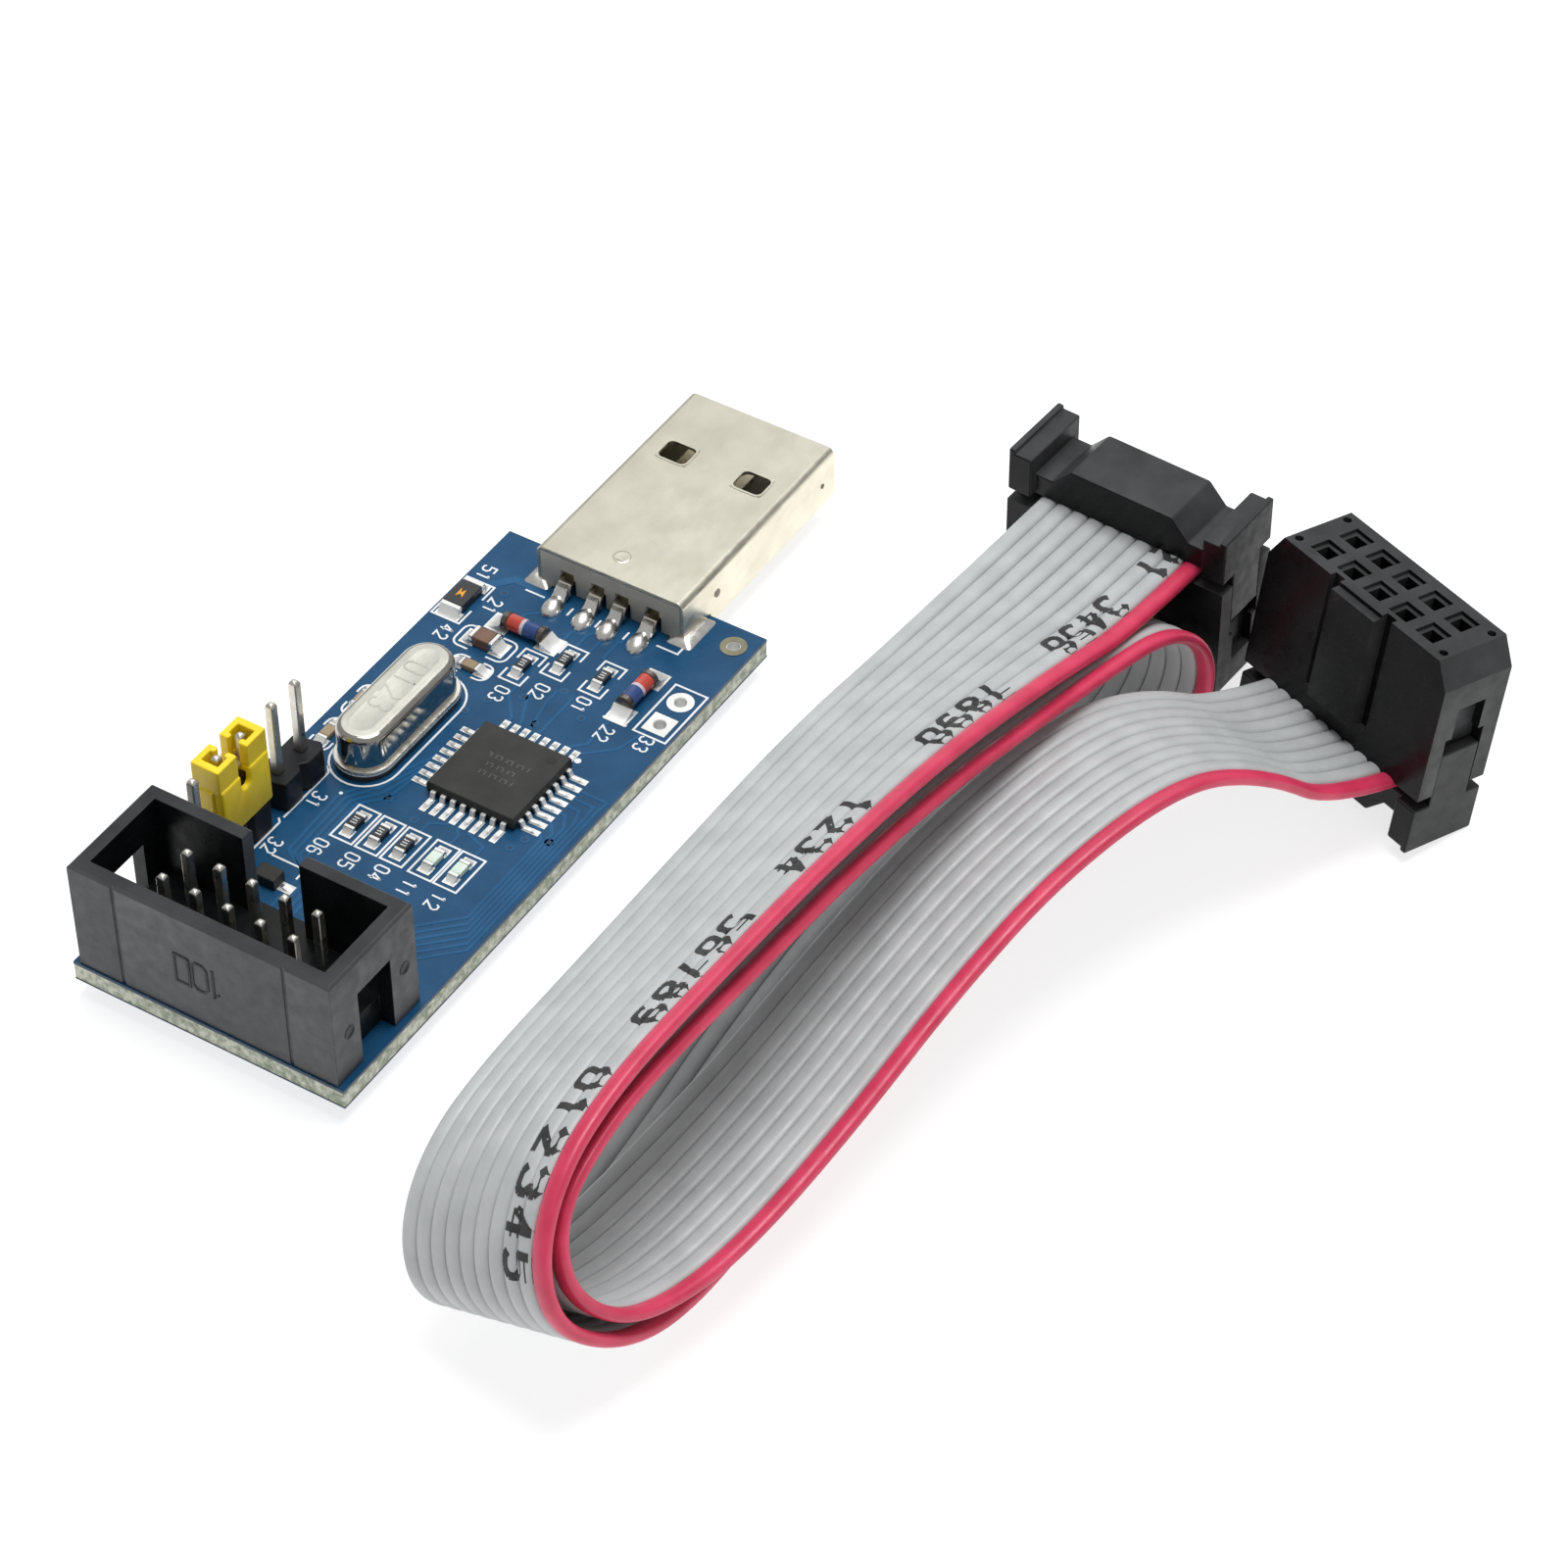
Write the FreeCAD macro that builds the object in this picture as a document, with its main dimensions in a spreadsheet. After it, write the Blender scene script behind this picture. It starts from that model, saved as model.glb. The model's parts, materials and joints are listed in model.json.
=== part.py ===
"""A USB programmer board for small microcontrollers, with its ten-wire ribbon cable.

Millimetres. +X runs from the box header to the USB plug and +Z is up. The origin is on the table under the
middle of the programmer, which stands on the ends of its soldered pins. Each sub-part has its own function.
"""
import FreeCAD, Part
import Sketcher
import math
import os
import re

from FreeCAD import Placement, Rotation, Vector

SIZES = {
    # circuit board
    "standoff": 1.4, "board_length": 49.0, "board_width": 21.2, "board_thickness": 1.6,
    "board_middle": -8.1, "hole_radius": 0.5, "pitch": 2.54, "pin_width": 0.64, "pin_bevel": 0.18,
    "edge_row": -9.1, "corner_hole_x": 14.6, "link_hole_x": 5.45, "tab_slot_length": 2.4,
    "tab_slot_width": 0.9,
    # box header
    "header_x": -28.1, "header_length": 20.3, "header_depth": 8.8, "header_height": 8.8, "header_wall": 1.1,
    "header_floor": 2.3, "header_pin_height": 8.0, "key_width": 4.4, "end_slot_width": 3.4,
    "rim_depth": 2.8, "groove_offset": 6.6, "groove_width": 0.25, "header_bevel": 0.2,
    # jumper headers and jumper cap
    "jumper_row": 8.25, "three_way_x": -19.5, "two_way_x": -12.375, "strip_width": 2.5, "strip_height": 2.5,
    "strip_notch": 0.45, "jumper_pin_height": 8.6, "cap_x": -18.225, "cap_length": 5.0, "cap_width": 2.5,
    "cap_height": 4.5, "cap_wall": 0.4, "lug_height": 1.6, "lug_width": 1.0, "clip_sheet": 0.2,
    "clip_gap": 0.03, "leaf_width": 0.8,
    # USB plug
    "usb_rear": 13.15, "usb_length": 19.45, "usb_width": 12.0, "usb_height": 4.5, "usb_bottom": 1.8,
    "usb_sheet": 0.3, "usb_corner": 0.55, "board_overlap": 3.35, "usb_lift": 0.05, "window_x": 26.4,
    "window_y": 3.1, "window_length": 2.0, "window_width": 2.4, "tab_length": 1.8,
    "tab_x": 14.3, "tab_drop": 2.4, "tongue_height": 1.9, "tongue_set_back": 0.6, "rear_block": 3.4,
    "cover_sheet": 0.4, "contact_sheet": 0.25, "contact_width": 1.0,
    "inner_contact": 1.0, "outer_contact": 3.5, "tail_notch_width": 1.3, "tail_notch_height": 1.3,
    "pad_x": 11.5, "pad_height": 0.25,
    # microcontroller and crystal
    "chip_x": -4.65, "chip_y": -3.1, "chip_side": 7.0, "chip_lift": 0.1, "chip_seam": 0.5,
    "chip_draft": 8.0, "lead_span": 9.0, "lead_pitch": 0.8, "lead_width": 0.37, "lead_sheet": 0.15,
    "lead_foot": 0.6, "crystal_x": -4.1, "crystal_y": 5.55, "crystal_span": 3.6, "crystal_radius": 1.9,
    "can_height": 2.7, "can_rounding": 0.6, "flange_margin": 0.3, "flange_height": 0.4,
    "spacer_height": 0.5, "spacer_margin": 0.1, "crystal_lead_offset": 2.44, "crystal_lead_radius": 0.22,
    "crystal_hole_radius": 0.4,
    # small parts
    "small_length": 1.6, "small_width": 0.8, "small_height": 0.45, "small_end": 0.3, "medium_length": 2.0,
    "medium_width": 1.25, "medium_height": 0.85, "medium_end": 0.35, "fuse_length": 3.2, "fuse_width": 1.6,
    "fuse_height": 0.7, "fuse_end": 0.4, "diode_length": 3.4, "diode_radius": 0.75,
    "diode_glass_radius": 0.69, "diode_end": 0.5, "notch_part_length": 1.7, "notch_part_width": 1.25,
    "notch_part_height": 0.9, "notch_lead_length": 0.4, "notch_lead_width": 0.3, "notch_lead_height": 0.15,
    "solder_top_radius": 0.55, "solder_base_radius": 0.95, "solder_drop": 0.8,
    # ribbon socket, in its own frame: x along its length, y across it, z from the cover to the mating face
    "socket_length": 17.2, "socket_width": 6.0, "socket_height": 15.3, "cover_height": 3.5,
    "ribbon_thickness": 0.9, "wire_pitch": 1.27, "ear_length": 1.8, "ridge_sheet": 0.5, "ridge_height": 0.3,
    "spine_width": 4.8, "spine_top": 8.0, "spine_slope": 1.4, "spine_drop": 1.5, "arm_width": 3.4,
    "arm_sheet": 0.9, "arm_reach": 4.2, "recess_reach": 4.6, "latch_width": 2.4, "latch_low": 9.0,
    "latch_high": 11.4, "latch_depth": 0.7, "corner_cut_width": 1.1, "corner_cut_height": 1.9,
    "bump_width": 4.1, "bump_height": 0.7, "bump_low": 6.3, "bump_high": 15.0, "bump_groove_width": 0.9,
    "bump_groove_depth": 0.5, "socket_hole": 1.1, "socket_mouth": 1.7,
    "socket_mouth_depth": 0.3, "vent_radius": 0.3, "vent_depth": 1.5, "fork_sheet": 0.18, "fork_width": 0.7,
    "fork_reach": 8.2,
    # how the two sockets and the ribbon lie
    "socket_a_x": 32.2, "socket_a_y": -30.3, "socket_a_turn": -93.7, "socket_b_x": 28.6,
    "socket_b_y": -49.1, "socket_b_turn": -110.9, "socket_b_lean": 8.9, "ribbon_lead_in": 9.0,
    "ribbon_lead_out": 7.2, "arc_share": 0.45,
}

BOARD_TOP = "(standoff + board_thickness)"
USB_TOP = "(usb_bottom + usb_height)"
USB_FRONT = "(usb_rear + usb_length)"
USB_CONTACTS = ("-outer_contact", "-inner_contact", "inner_contact", "outer_contact")

# centre of each small part on the board, and the axis that it lies along
RESISTORS = [("-13.05", "2.6", "x"), ("-13.05", "0.6", "x"), ("-13.05", "-1.4", "x"),
             ("5.3", "1.9", "x"), ("7.15", "-0.25", "x"), ("7.1", "-3.4", "x")]
LEDS = [("-13.05", "-3.7", "x"), ("-13.05", "-5.7", "x")]
SMALL_CAPACITORS = [("-7.0", "9.2", "x"), ("-3.2", "9.2", "x"), ("3.4", "4.9", "y")]
LARGE_CAPACITORS = [("5.9", "5.4", "y")]
FUSES = [("8.75", "9.25", "x")]
DIODES = [("6.9", "-6.35", "x"), ("8.1", "3.6", "y")]
NOTCH_PART = ("-20.2", "4.3")

# the ribbon's free points between its two sockets: place, then the heading and the tilt of its width
RIBBON = [
    (12.0, -29.5, 13.8, -91, 12), (0.5, -28.9, 15.6, -93, 19), (-12.0, -28.5, 16.2, -95, 25),
    (-24.0, -28.2, 16.2, -96, 28), (-34.0, -28.0, 16.2, -97, 29), (-40.6, -28.3, 15.2, -98, 27),
    (-44.5, -29.1, 11.6, -98, 24), (-45.1, -30.5, 7.0, -95, 21), (-41.6, -31.9, 3.4, -88, 15),
    (-35.5, -32.6, 2.0, -84, 11), (-24.0, -31.9, 1.7, -84, 8), (-12.0, -30.6, 1.2, -86, 5),
    (0.0, -30.0, 0.8, -88, 2), (10.5, -30.9, 0.6, -92, 0), (18.5, -32.2, 0.7, -96, 0),
    (24.5, -33.0, 0.9, -97, 1), (27.7, -33.3, 3.6, -98, 4), (27.7, -32.9, 7.2, -99, 8),
    (24.4, -31.9, 9.9, -99, 12), (18.0, -30.9, 10.6, -98, 15), (10.0, -30.2, 11.6, -97, 19),
    (1.0, -29.6, 12.6, -95, 25), (-9.0, -29.1, 13.1, -94, 30), (-19.0, -28.9, 13.3, -95, 33),
    (-29.0, -28.5, 13.8, -96, 33), (-36.3, -28.4, 14.0, -97, 31), (-42.0, -28.8, 12.4, -98, 28),
    (-43.6, -30.3, 8.1, -95, 24), (-41.2, -32.0, 5.0, -90, 19), (-36.0, -33.3, 3.9, -88, 16),
    (-29.0, -34.3, 4.3, -92, 15), (-20.0, -35.4, 6.0, -97, 17), (-10.5, -36.5, 8.8, -101, 18),
    (0.0, -38.2, 11.5, -104, 17), (10.5, -41.1, 12.8, -107, 13), (16.8, -43.9, 10.5, -110, 7),
]

doc = FreeCAD.newDocument("UsbProgrammer")
sheet = doc.addObject("Spreadsheet::Sheet", "Dimensions")
nodes = []


def fill_sheet():
    for row, (alias, size) in enumerate(SIZES.items(), start=1):
        sheet.set(f"A{row}", alias)
        sheet.set(f"B{row}", str(size))
        sheet.setAlias(f"B{row}", alias)
    doc.recompute()


def cells(text):
    """Turn the plain names in an expression into the sheet's cells."""
    return re.sub(r"[a-z][a-z_]*", lambda name: "Dimensions." + name.group(0), text)


def bind(thing, prop, text):
    thing.setExpression(prop, cells(text))


def place(thing, at):
    for axis, text in zip("xyz", at):
        bind(thing, "Placement.Base." + axis, text)


def add_node(name, thing):
    thing.Label = name
    nodes.append(thing)
    return thing


# sketches and features of a PartDesign body

def new_body(name):
    return add_node(name, doc.addObject("PartDesign::Body", name))


def new_sketch(body, name, role="XY_Plane", level="0"):
    """A sketch on one of the body's own origin planes, raised along that plane's normal."""
    sketch = body.newObject("Sketcher::SketchObject", name)
    plane = [feature for feature in body.Origin.OriginFeatures if feature.Role == role][0]
    sketch.AttachmentSupport = [(plane, "")]
    sketch.MapMode = "FlatFace"
    bind(sketch, "AttachmentOffset.Base.z", level)
    return sketch


def constrain(sketch, wanted):
    """Add constraints in one go and bind the ones that have an expression."""
    indices = sketch.addConstraint([Sketcher.Constraint(*parts) for parts, text in wanted])
    for index, (parts, text) in zip(indices, wanted):
        if text:
            bind(sketch, f"Constraints[{index}]", text)


def at_point(geometry, point, x, y):
    """The two constraints that hold a point of a sketch's geometry at a place."""
    return [(("DistanceX", -1, 1, geometry, point, 1.0), x), (("DistanceY", -1, 1, geometry, point, 1.0), y)]


def polygon(sketch, corners):
    count = len(corners)
    ring = [Vector(math.cos(math.tau * k / count), math.sin(math.tau * k / count), 0) for k in range(count)]
    lines = [Part.LineSegment(ring[k], ring[(k + 1) % count]) for k in range(count)]
    sides = sketch.addGeometry(lines, False)
    wanted = []
    for k, (x, y) in enumerate(corners):
        wanted += [(("Coincident", sides[k], 2, sides[(k + 1) % count], 1), "")] + at_point(sides[k], 1, x, y)
    constrain(sketch, wanted)


def rectangle(sketch, wide, deep, x="0", y="0"):
    left, right = f"({x}) - ({wide}) / 2", f"({x}) + ({wide}) / 2"
    low, high = f"({y}) - ({deep}) / 2", f"({y}) + ({deep}) / 2"
    polygon(sketch, [(left, low), (right, low), (right, high), (left, high)])


def disc(sketch, radius, x="0", y="0"):
    circle = sketch.addGeometry(Part.Circle(Vector(1, 1, 0), Vector(0, 0, 1), 1), False)
    constrain(sketch, [(("Radius", circle, 1.0), radius)] + at_point(circle, 3, x, y))


def stadium(sketch, half_span, radius):
    """Two half circles joined by tangent lines, long way along x."""
    turns = ((1, -math.pi / 2, math.pi / 2), (-1, math.pi / 2, 3 * math.pi / 2))
    circles = [Part.Circle(Vector(2 * side, 0, 0), Vector(0, 0, 1), 1) for side, start, end in turns]
    arcs = sketch.addGeometry([Part.ArcOfCircle(circle, start, end)
                               for circle, (side, start, end) in zip(circles, turns)], False)
    lines = sketch.addGeometry([Part.LineSegment(Vector(2 * side, side, 0), Vector(-2 * side, side, 0))
                                for side in (1, -1)], False)
    wanted = [(("Radius", arc, 1.0), radius) for arc in arcs]
    for arc, after in ((0, 1), (1, 0)):
        wanted += [(("Tangent", arcs[arc], 2, lines[arc], 1), ""),
                   (("Tangent", lines[arc], 2, arcs[after], 1), "")]
    wanted += at_point(arcs[0], 3, half_span, "0") + at_point(arcs[1], 3, f"-({half_span})", "0")
    constrain(sketch, wanted)


def pad(body, sketch, length, **settings):
    feature = body.newObject("PartDesign::Pad", sketch.Name + "_pad")
    feature.Profile = sketch
    bind(feature, "Length", length)
    for name, setting in settings.items():
        setattr(feature, name, setting)
    return feature


def pocket(body, sketch, depth=None, **settings):
    """Cut the sketch down from its plane, or right through where no depth is given."""
    feature = body.newObject("PartDesign::Pocket", sketch.Name + "_cut")
    feature.Profile = sketch
    if depth is None:
        feature.Type = "ThroughAll"
        feature.Midplane = True
    else:
        bind(feature, "Length", depth)
    for name, setting in settings.items():
        setattr(feature, name, setting)
    return feature


def edges_where(shape, test):
    return [f"Edge{k}" for k, edge in enumerate(shape.Edges, start=1) if test(edge)]


def soften(body, feature, kind, size, test):
    """Chamfer or fillet the edges of the feature that pass the test."""
    doc.recompute()
    dressing = body.newObject("PartDesign::" + kind, f"{feature.Name}_{kind.lower()}")
    dressing.Base = (feature, edges_where(feature.Shape, test))
    bind(dressing, "Radius" if kind == "Fillet" else "Size", size)
    return dressing


def at_height(height, tolerance=1e-4):
    """A test for edges that lie level at one height."""
    def test(edge):
        box = edge.BoundBox
        return abs(box.ZMin - height) < tolerance and abs(box.ZMax - height) < tolerance
    return test


# plain solids

def block(name, size, centre, bottom):
    """A box on its bottom face's centre."""
    solid = doc.addObject("Part::Box", name)
    for prop, text in zip(("Length", "Width", "Height"), size):
        bind(solid, prop, text)
    place(solid, (f"({centre[0]}) - ({size[0]}) / 2", f"({centre[1]}) - ({size[1]}) / 2", bottom))
    return solid


def rod(name, radius, length, start, along):
    """A cylinder that starts at a point and runs along an axis."""
    solid = doc.addObject("Part::Cylinder", name)
    bind(solid, "Radius", radius)
    bind(solid, "Height", length)
    turn = {"x": Rotation(Vector(0, 1, 0), 90), "y": Rotation(Vector(1, 0, 0), -90), "z": Rotation()}[along]
    solid.Placement = Placement(Vector(), turn)
    place(solid, start)
    return solid


def group(name, solids):
    compound = doc.addObject("Part::Compound", name)
    compound.Links = solids
    return add_node(name, compound)


def header_pins():
    """Centres of the box header's ten pins."""
    return [(f"header_x + {side} * pitch / 2", f"{row} * pitch") for side in (-1, 1) for row in range(-2, 3)]


def strip_pins(middle, count):
    """Centres of the pins of a one-row header that lies along x."""
    return [(f"{middle} + {k - (count - 1) / 2} * pitch", "jumper_row") for k in range(count)]


def all_pins():
    return header_pins() + strip_pins("three_way_x", 3) + strip_pins("two_way_x", 2)


# the board and its headers

def circuit_board():
    board = new_body("circuit_board")
    outline = new_sketch(board, "board_outline", level="standoff")
    rectangle(outline, "board_length", "board_width", "board_middle")
    pad(board, outline, "board_thickness")
    holes = new_sketch(board, "board_holes", level=BOARD_TOP)
    for x, y in all_pins():
        disc(holes, "hole_radius", x, y)
    for side in (-1, 1):
        disc(holes, "crystal_hole_radius", f"crystal_x + {side} * crystal_lead_offset", "crystal_y")
        rectangle(holes, "tab_slot_length", "tab_slot_width", "tab_x",
                  f"{side} * (usb_width - usb_sheet) / 2")
    for x in ("corner_hole_x", "link_hole_x", "link_hole_x + pitch"):
        disc(holes, "hole_radius", x, "edge_row")
    pocket(board, holes)


def box_header_shroud():
    shroud = new_body("box_header_shroud")
    outline = new_sketch(shroud, "shroud_outline", level=BOARD_TOP)
    rectangle(outline, "header_depth", "header_length", "header_x")
    solid = pad(shroud, outline, "header_height")
    rim = SIZES["standoff"] + SIZES["board_thickness"] + SIZES["header_height"]
    soften(shroud, solid, "Chamfer", "header_bevel", at_height(rim))
    cavity = new_sketch(shroud, "shroud_cavity", level=f"{BOARD_TOP} + header_height")
    rectangle(cavity, "header_depth - 2 * header_wall", "header_length - 2 * header_wall", "header_x")
    pocket(shroud, cavity, "header_height - header_floor")
    notch = new_sketch(shroud, "shroud_key_notch", level=f"{BOARD_TOP} + header_height")
    rectangle(notch, "header_wall + header_bevel", "key_width",
              "header_x + header_depth / 2 - (header_wall - header_bevel) / 2")
    pocket(shroud, notch, "header_height - header_floor")
    slots = new_sketch(shroud, "shroud_end_slots", level=f"{BOARD_TOP} + header_height - rim_depth")
    for side in (-1, 1):
        rectangle(slots, "end_slot_width", "header_wall", "header_x",
                  f"{side} * (header_length - header_wall) / 2")
    pocket(shroud, slots, "header_height - rim_depth")
    grooves = new_sketch(shroud, "shroud_grooves", level=f"{BOARD_TOP} + header_height")
    for side in (-1, 1):
        rectangle(grooves, "groove_width", "groove_width", "header_x - header_depth / 2",
                  f"{side} * groove_offset")
    pocket(shroud, grooves, "header_height")
    sockets = new_sketch(shroud, "shroud_pin_holes", level=f"{BOARD_TOP} + header_floor")
    for x, y in header_pins():
        rectangle(sockets, "pin_width", "pin_width", x, y)
    pocket(shroud, sockets, "header_floor")


def square_pins(name, centres, height):
    """Square pins with bevelled tips, from the table to a height above the board."""
    pins = new_body(name)
    squares = new_sketch(pins, name + "_squares")
    for x, y in centres:
        rectangle(squares, "pin_width", "pin_width", x, y)
    solid = pad(pins, squares, f"{BOARD_TOP} + {height}")
    tip = SIZES["standoff"] + SIZES["board_thickness"] + SIZES[height]
    soften(pins, solid, "Chamfer", "pin_bevel", at_height(tip))


def strip_base(name, middle, count):
    """The base of a one-row header: a notched bar with one square hole for each pin."""
    base = new_body(name)
    outline = new_sketch(base, name + "_outline", level=BOARD_TOP)
    half, left = "strip_width / 2", f"{middle} - {count} * pitch / 2"
    lower = []
    for k in range(count):
        start = f"{left} + {k} * pitch"
        lower += [(f"{start} + strip_notch", f"jumper_row - {half}"),
                  (f"{start} + pitch - strip_notch", f"jumper_row - {half}"),
                  (f"{start} + pitch", f"jumper_row - {half} + strip_notch")]
    upper = [(f"2 * ({middle}) - ({x})", f"2 * jumper_row - ({y})") for x, y in lower]
    polygon(outline, lower + upper)
    pad(base, outline, "strip_height")
    holes = new_sketch(base, name + "_holes", level=f"{BOARD_TOP} + strip_height")
    for x, y in strip_pins(middle, count):
        rectangle(holes, "pin_width", "pin_width", x, y)
    pocket(base, holes, "strip_height")


def jumper_cap_housing():
    housing = new_body("jumper_cap_housing")
    bottom = f"{BOARD_TOP} + strip_height"
    outline = new_sketch(housing, "cap_outline", level=bottom)
    rectangle(outline, "cap_length", "cap_width", "cap_x", "jumper_row")
    pad(housing, outline, "cap_height")
    lugs = new_sketch(housing, "cap_lugs", level=f"{bottom} + cap_height")
    for side in (-1, 1):
        rectangle(lugs, "cap_wall", "cap_width", f"cap_x + {side} * (cap_length - cap_wall) / 2",
                  "jumper_row")
        rectangle(lugs, "cap_wall", "lug_width", f"cap_x + {side} * (cap_length - 3 * cap_wall) / 2",
                  "jumper_row")
    rectangle(lugs, "lug_width", "cap_wall", "cap_x", "jumper_row + (cap_width - cap_wall) / 2")
    pad(housing, lugs, "lug_height")
    cavity = new_sketch(housing, "cap_cavity", level=f"{bottom} + cap_height")
    rectangle(cavity, "cap_length - 4 * cap_wall", "cap_width - 2 * cap_wall", "cap_x", "jumper_row")
    pocket(housing, cavity, "cap_height")


def jumper_cap_clip():
    """Two pairs of spring leaves, one pair on each pin, joined by a bridge with a slot for each pin."""
    clip = new_body("jumper_cap_clip")
    bottom = f"{BOARD_TOP} + strip_height"
    leaves = new_sketch(clip, "clip_leaves", level=f"{bottom} + clip_sheet")
    for pin in (-1, 1):
        for side in (-1, 1):
            rectangle(leaves, "leaf_width", "clip_sheet", f"cap_x + {pin} * pitch / 2",
                      f"jumper_row + {side} * (pin_width / 2 + clip_gap + clip_sheet / 2)")
    pad(clip, leaves, "cap_height - 2 * clip_sheet")
    bridge = new_sketch(clip, "clip_bridge", level=f"{bottom} + cap_height - 2 * clip_sheet")
    rectangle(bridge, "pitch + leaf_width", "pin_width + 2 * (clip_gap + clip_sheet)", "cap_x", "jumper_row")
    for pin in (-1, 1):
        rectangle(bridge, "pin_width + 2 * clip_gap", "pin_width + 2 * clip_gap",
                  f"cap_x + {pin} * pitch / 2", "jumper_row")
    pad(clip, bridge, "clip_sheet")


# the USB plug

def usb_shell():
    shell = new_body("usb_shell")
    middle = "usb_bottom + usb_height / 2"
    outline = new_sketch(shell, "shell_outline", "YZ_Plane", "usb_rear")
    rectangle(outline, "usb_width", "usb_height", "0", middle)
    solid = pad(shell, outline, "usb_length")
    soften(shell, solid, "Fillet", "usb_corner", lambda edge: edge.BoundBox.XLength > 1)
    mouth = new_sketch(shell, "shell_mouth", "YZ_Plane", "usb_rear")
    rectangle(mouth, "usb_width - 2 * usb_sheet", "usb_height - 2 * usb_sheet", "0", middle)
    pocket(shell, mouth)
    relief = new_sketch(shell, "shell_board_relief", level=f"{BOARD_TOP} + usb_lift")
    rectangle(relief, "board_overlap", "usb_width", "usb_rear + board_overlap / 2")
    pocket(shell, relief, "usb_height")
    windows = new_sketch(shell, "shell_windows", level=USB_TOP)
    for side in (-1, 1):
        rectangle(windows, "window_length", "window_width", "window_x", f"{side} * window_y")
    pocket(shell, windows)
    tabs = new_sketch(shell, "shell_tabs", level=f"{BOARD_TOP} + 2 * usb_lift - tab_drop")
    for side in (-1, 1):
        rectangle(tabs, "tab_length", "usb_sheet", "tab_x", f"{side} * (usb_width - usb_sheet) / 2")
    pad(shell, tabs, "tab_drop")


def usb_insulator():
    """The tongue, and the rear block with one channel under it for each contact's tail."""
    insulator = new_body("usb_insulator")
    floor = "usb_bottom + usb_sheet"
    wide = "usb_width - 2 * usb_sheet"
    tongue = new_sketch(insulator, "tongue_outline", level=floor)
    start, end = "usb_rear + board_overlap", f"{USB_FRONT} - tongue_set_back"
    rectangle(tongue, f"{end} - ({start})", wide, f"({end} + {start}) / 2")
    pad(insulator, tongue, "tongue_height")
    rear = new_sketch(insulator, "rear_block_outline", level=f"{BOARD_TOP} + usb_lift")
    rectangle(rear, "rear_block", wide, "usb_rear + cover_sheet + rear_block / 2")
    pad(insulator, rear, f"{USB_TOP} - usb_sheet - {BOARD_TOP} - usb_lift")
    channels = new_sketch(insulator, "tail_channels", level=f"{floor} + tongue_height + contact_sheet")
    for y in USB_CONTACTS:
        rectangle(channels, "rear_block", "tail_notch_width", "usb_rear + cover_sheet + rear_block / 2", y)
    pocket(insulator, channels, f"{floor} + tongue_height + contact_sheet - {BOARD_TOP}")


def usb_contacts():
    """Four springs that lie on the tongue, leave at the rear and bend down to their pads."""
    contacts = new_body("usb_contacts")
    low = "(usb_bottom + usb_sheet + tongue_height)"
    high = f"({low} + contact_sheet)"
    foot = f"({BOARD_TOP} + pad_height)"
    rear, pad_end, bend = "(usb_rear - 0.2)", "(pad_x - 0.6)", "(pad_x + 0.9)"
    tail = [(f"{USB_FRONT} - 1.4", low), (f"{USB_FRONT} - 1.4", high), (f"{rear} - 0.1", high),
            (f"{bend} - 0.1", f"{foot} + contact_sheet"), (pad_end, f"{foot} + contact_sheet"),
            (pad_end, foot), (bend, foot), (rear, low)]
    for number, y in enumerate(USB_CONTACTS):
        profile = new_sketch(contacts, f"contact_profile_{number}", "XZ_Plane", f"-({y})")
        polygon(profile, tail)
        pad(contacts, profile, "contact_width", Midplane=True)


def usb_rear_cover():
    cover = new_body("usb_rear_cover")
    plate = new_sketch(cover, "rear_cover_outline", "YZ_Plane", "usb_rear")
    half, low, high = "(usb_width / 2 - usb_sheet)", f"({BOARD_TOP} + usb_lift)", f"({USB_TOP} - usb_sheet)"
    corners = [(f"{half}", high), (f"-{half}", high), (f"-{half}", low)]
    for y in USB_CONTACTS:
        left, right = f"{y} - tail_notch_width / 2", f"{y} + tail_notch_width / 2"
        top = f"{low} + tail_notch_height"
        corners += [(left, low), (left, top), (right, top), (right, low)]
    polygon(plate, corners + [(half, low)])
    pad(cover, plate, "cover_sheet")


# the microcontroller and the crystal

def microcontroller_body():
    chip = new_body("microcontroller_body")
    for name, direction in (("chip_upper_half", False), ("chip_lower_half", True)):
        seam = new_sketch(chip, name, level="chip_lift + chip_seam")
        rectangle(seam, "chip_side", "chip_side")
        half = pad(chip, seam, "chip_seam", Reversed=direction)
        bind(half, "TaperAngle", "-chip_draft")
    place(chip, ("chip_x", "chip_y", BOARD_TOP))


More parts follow.
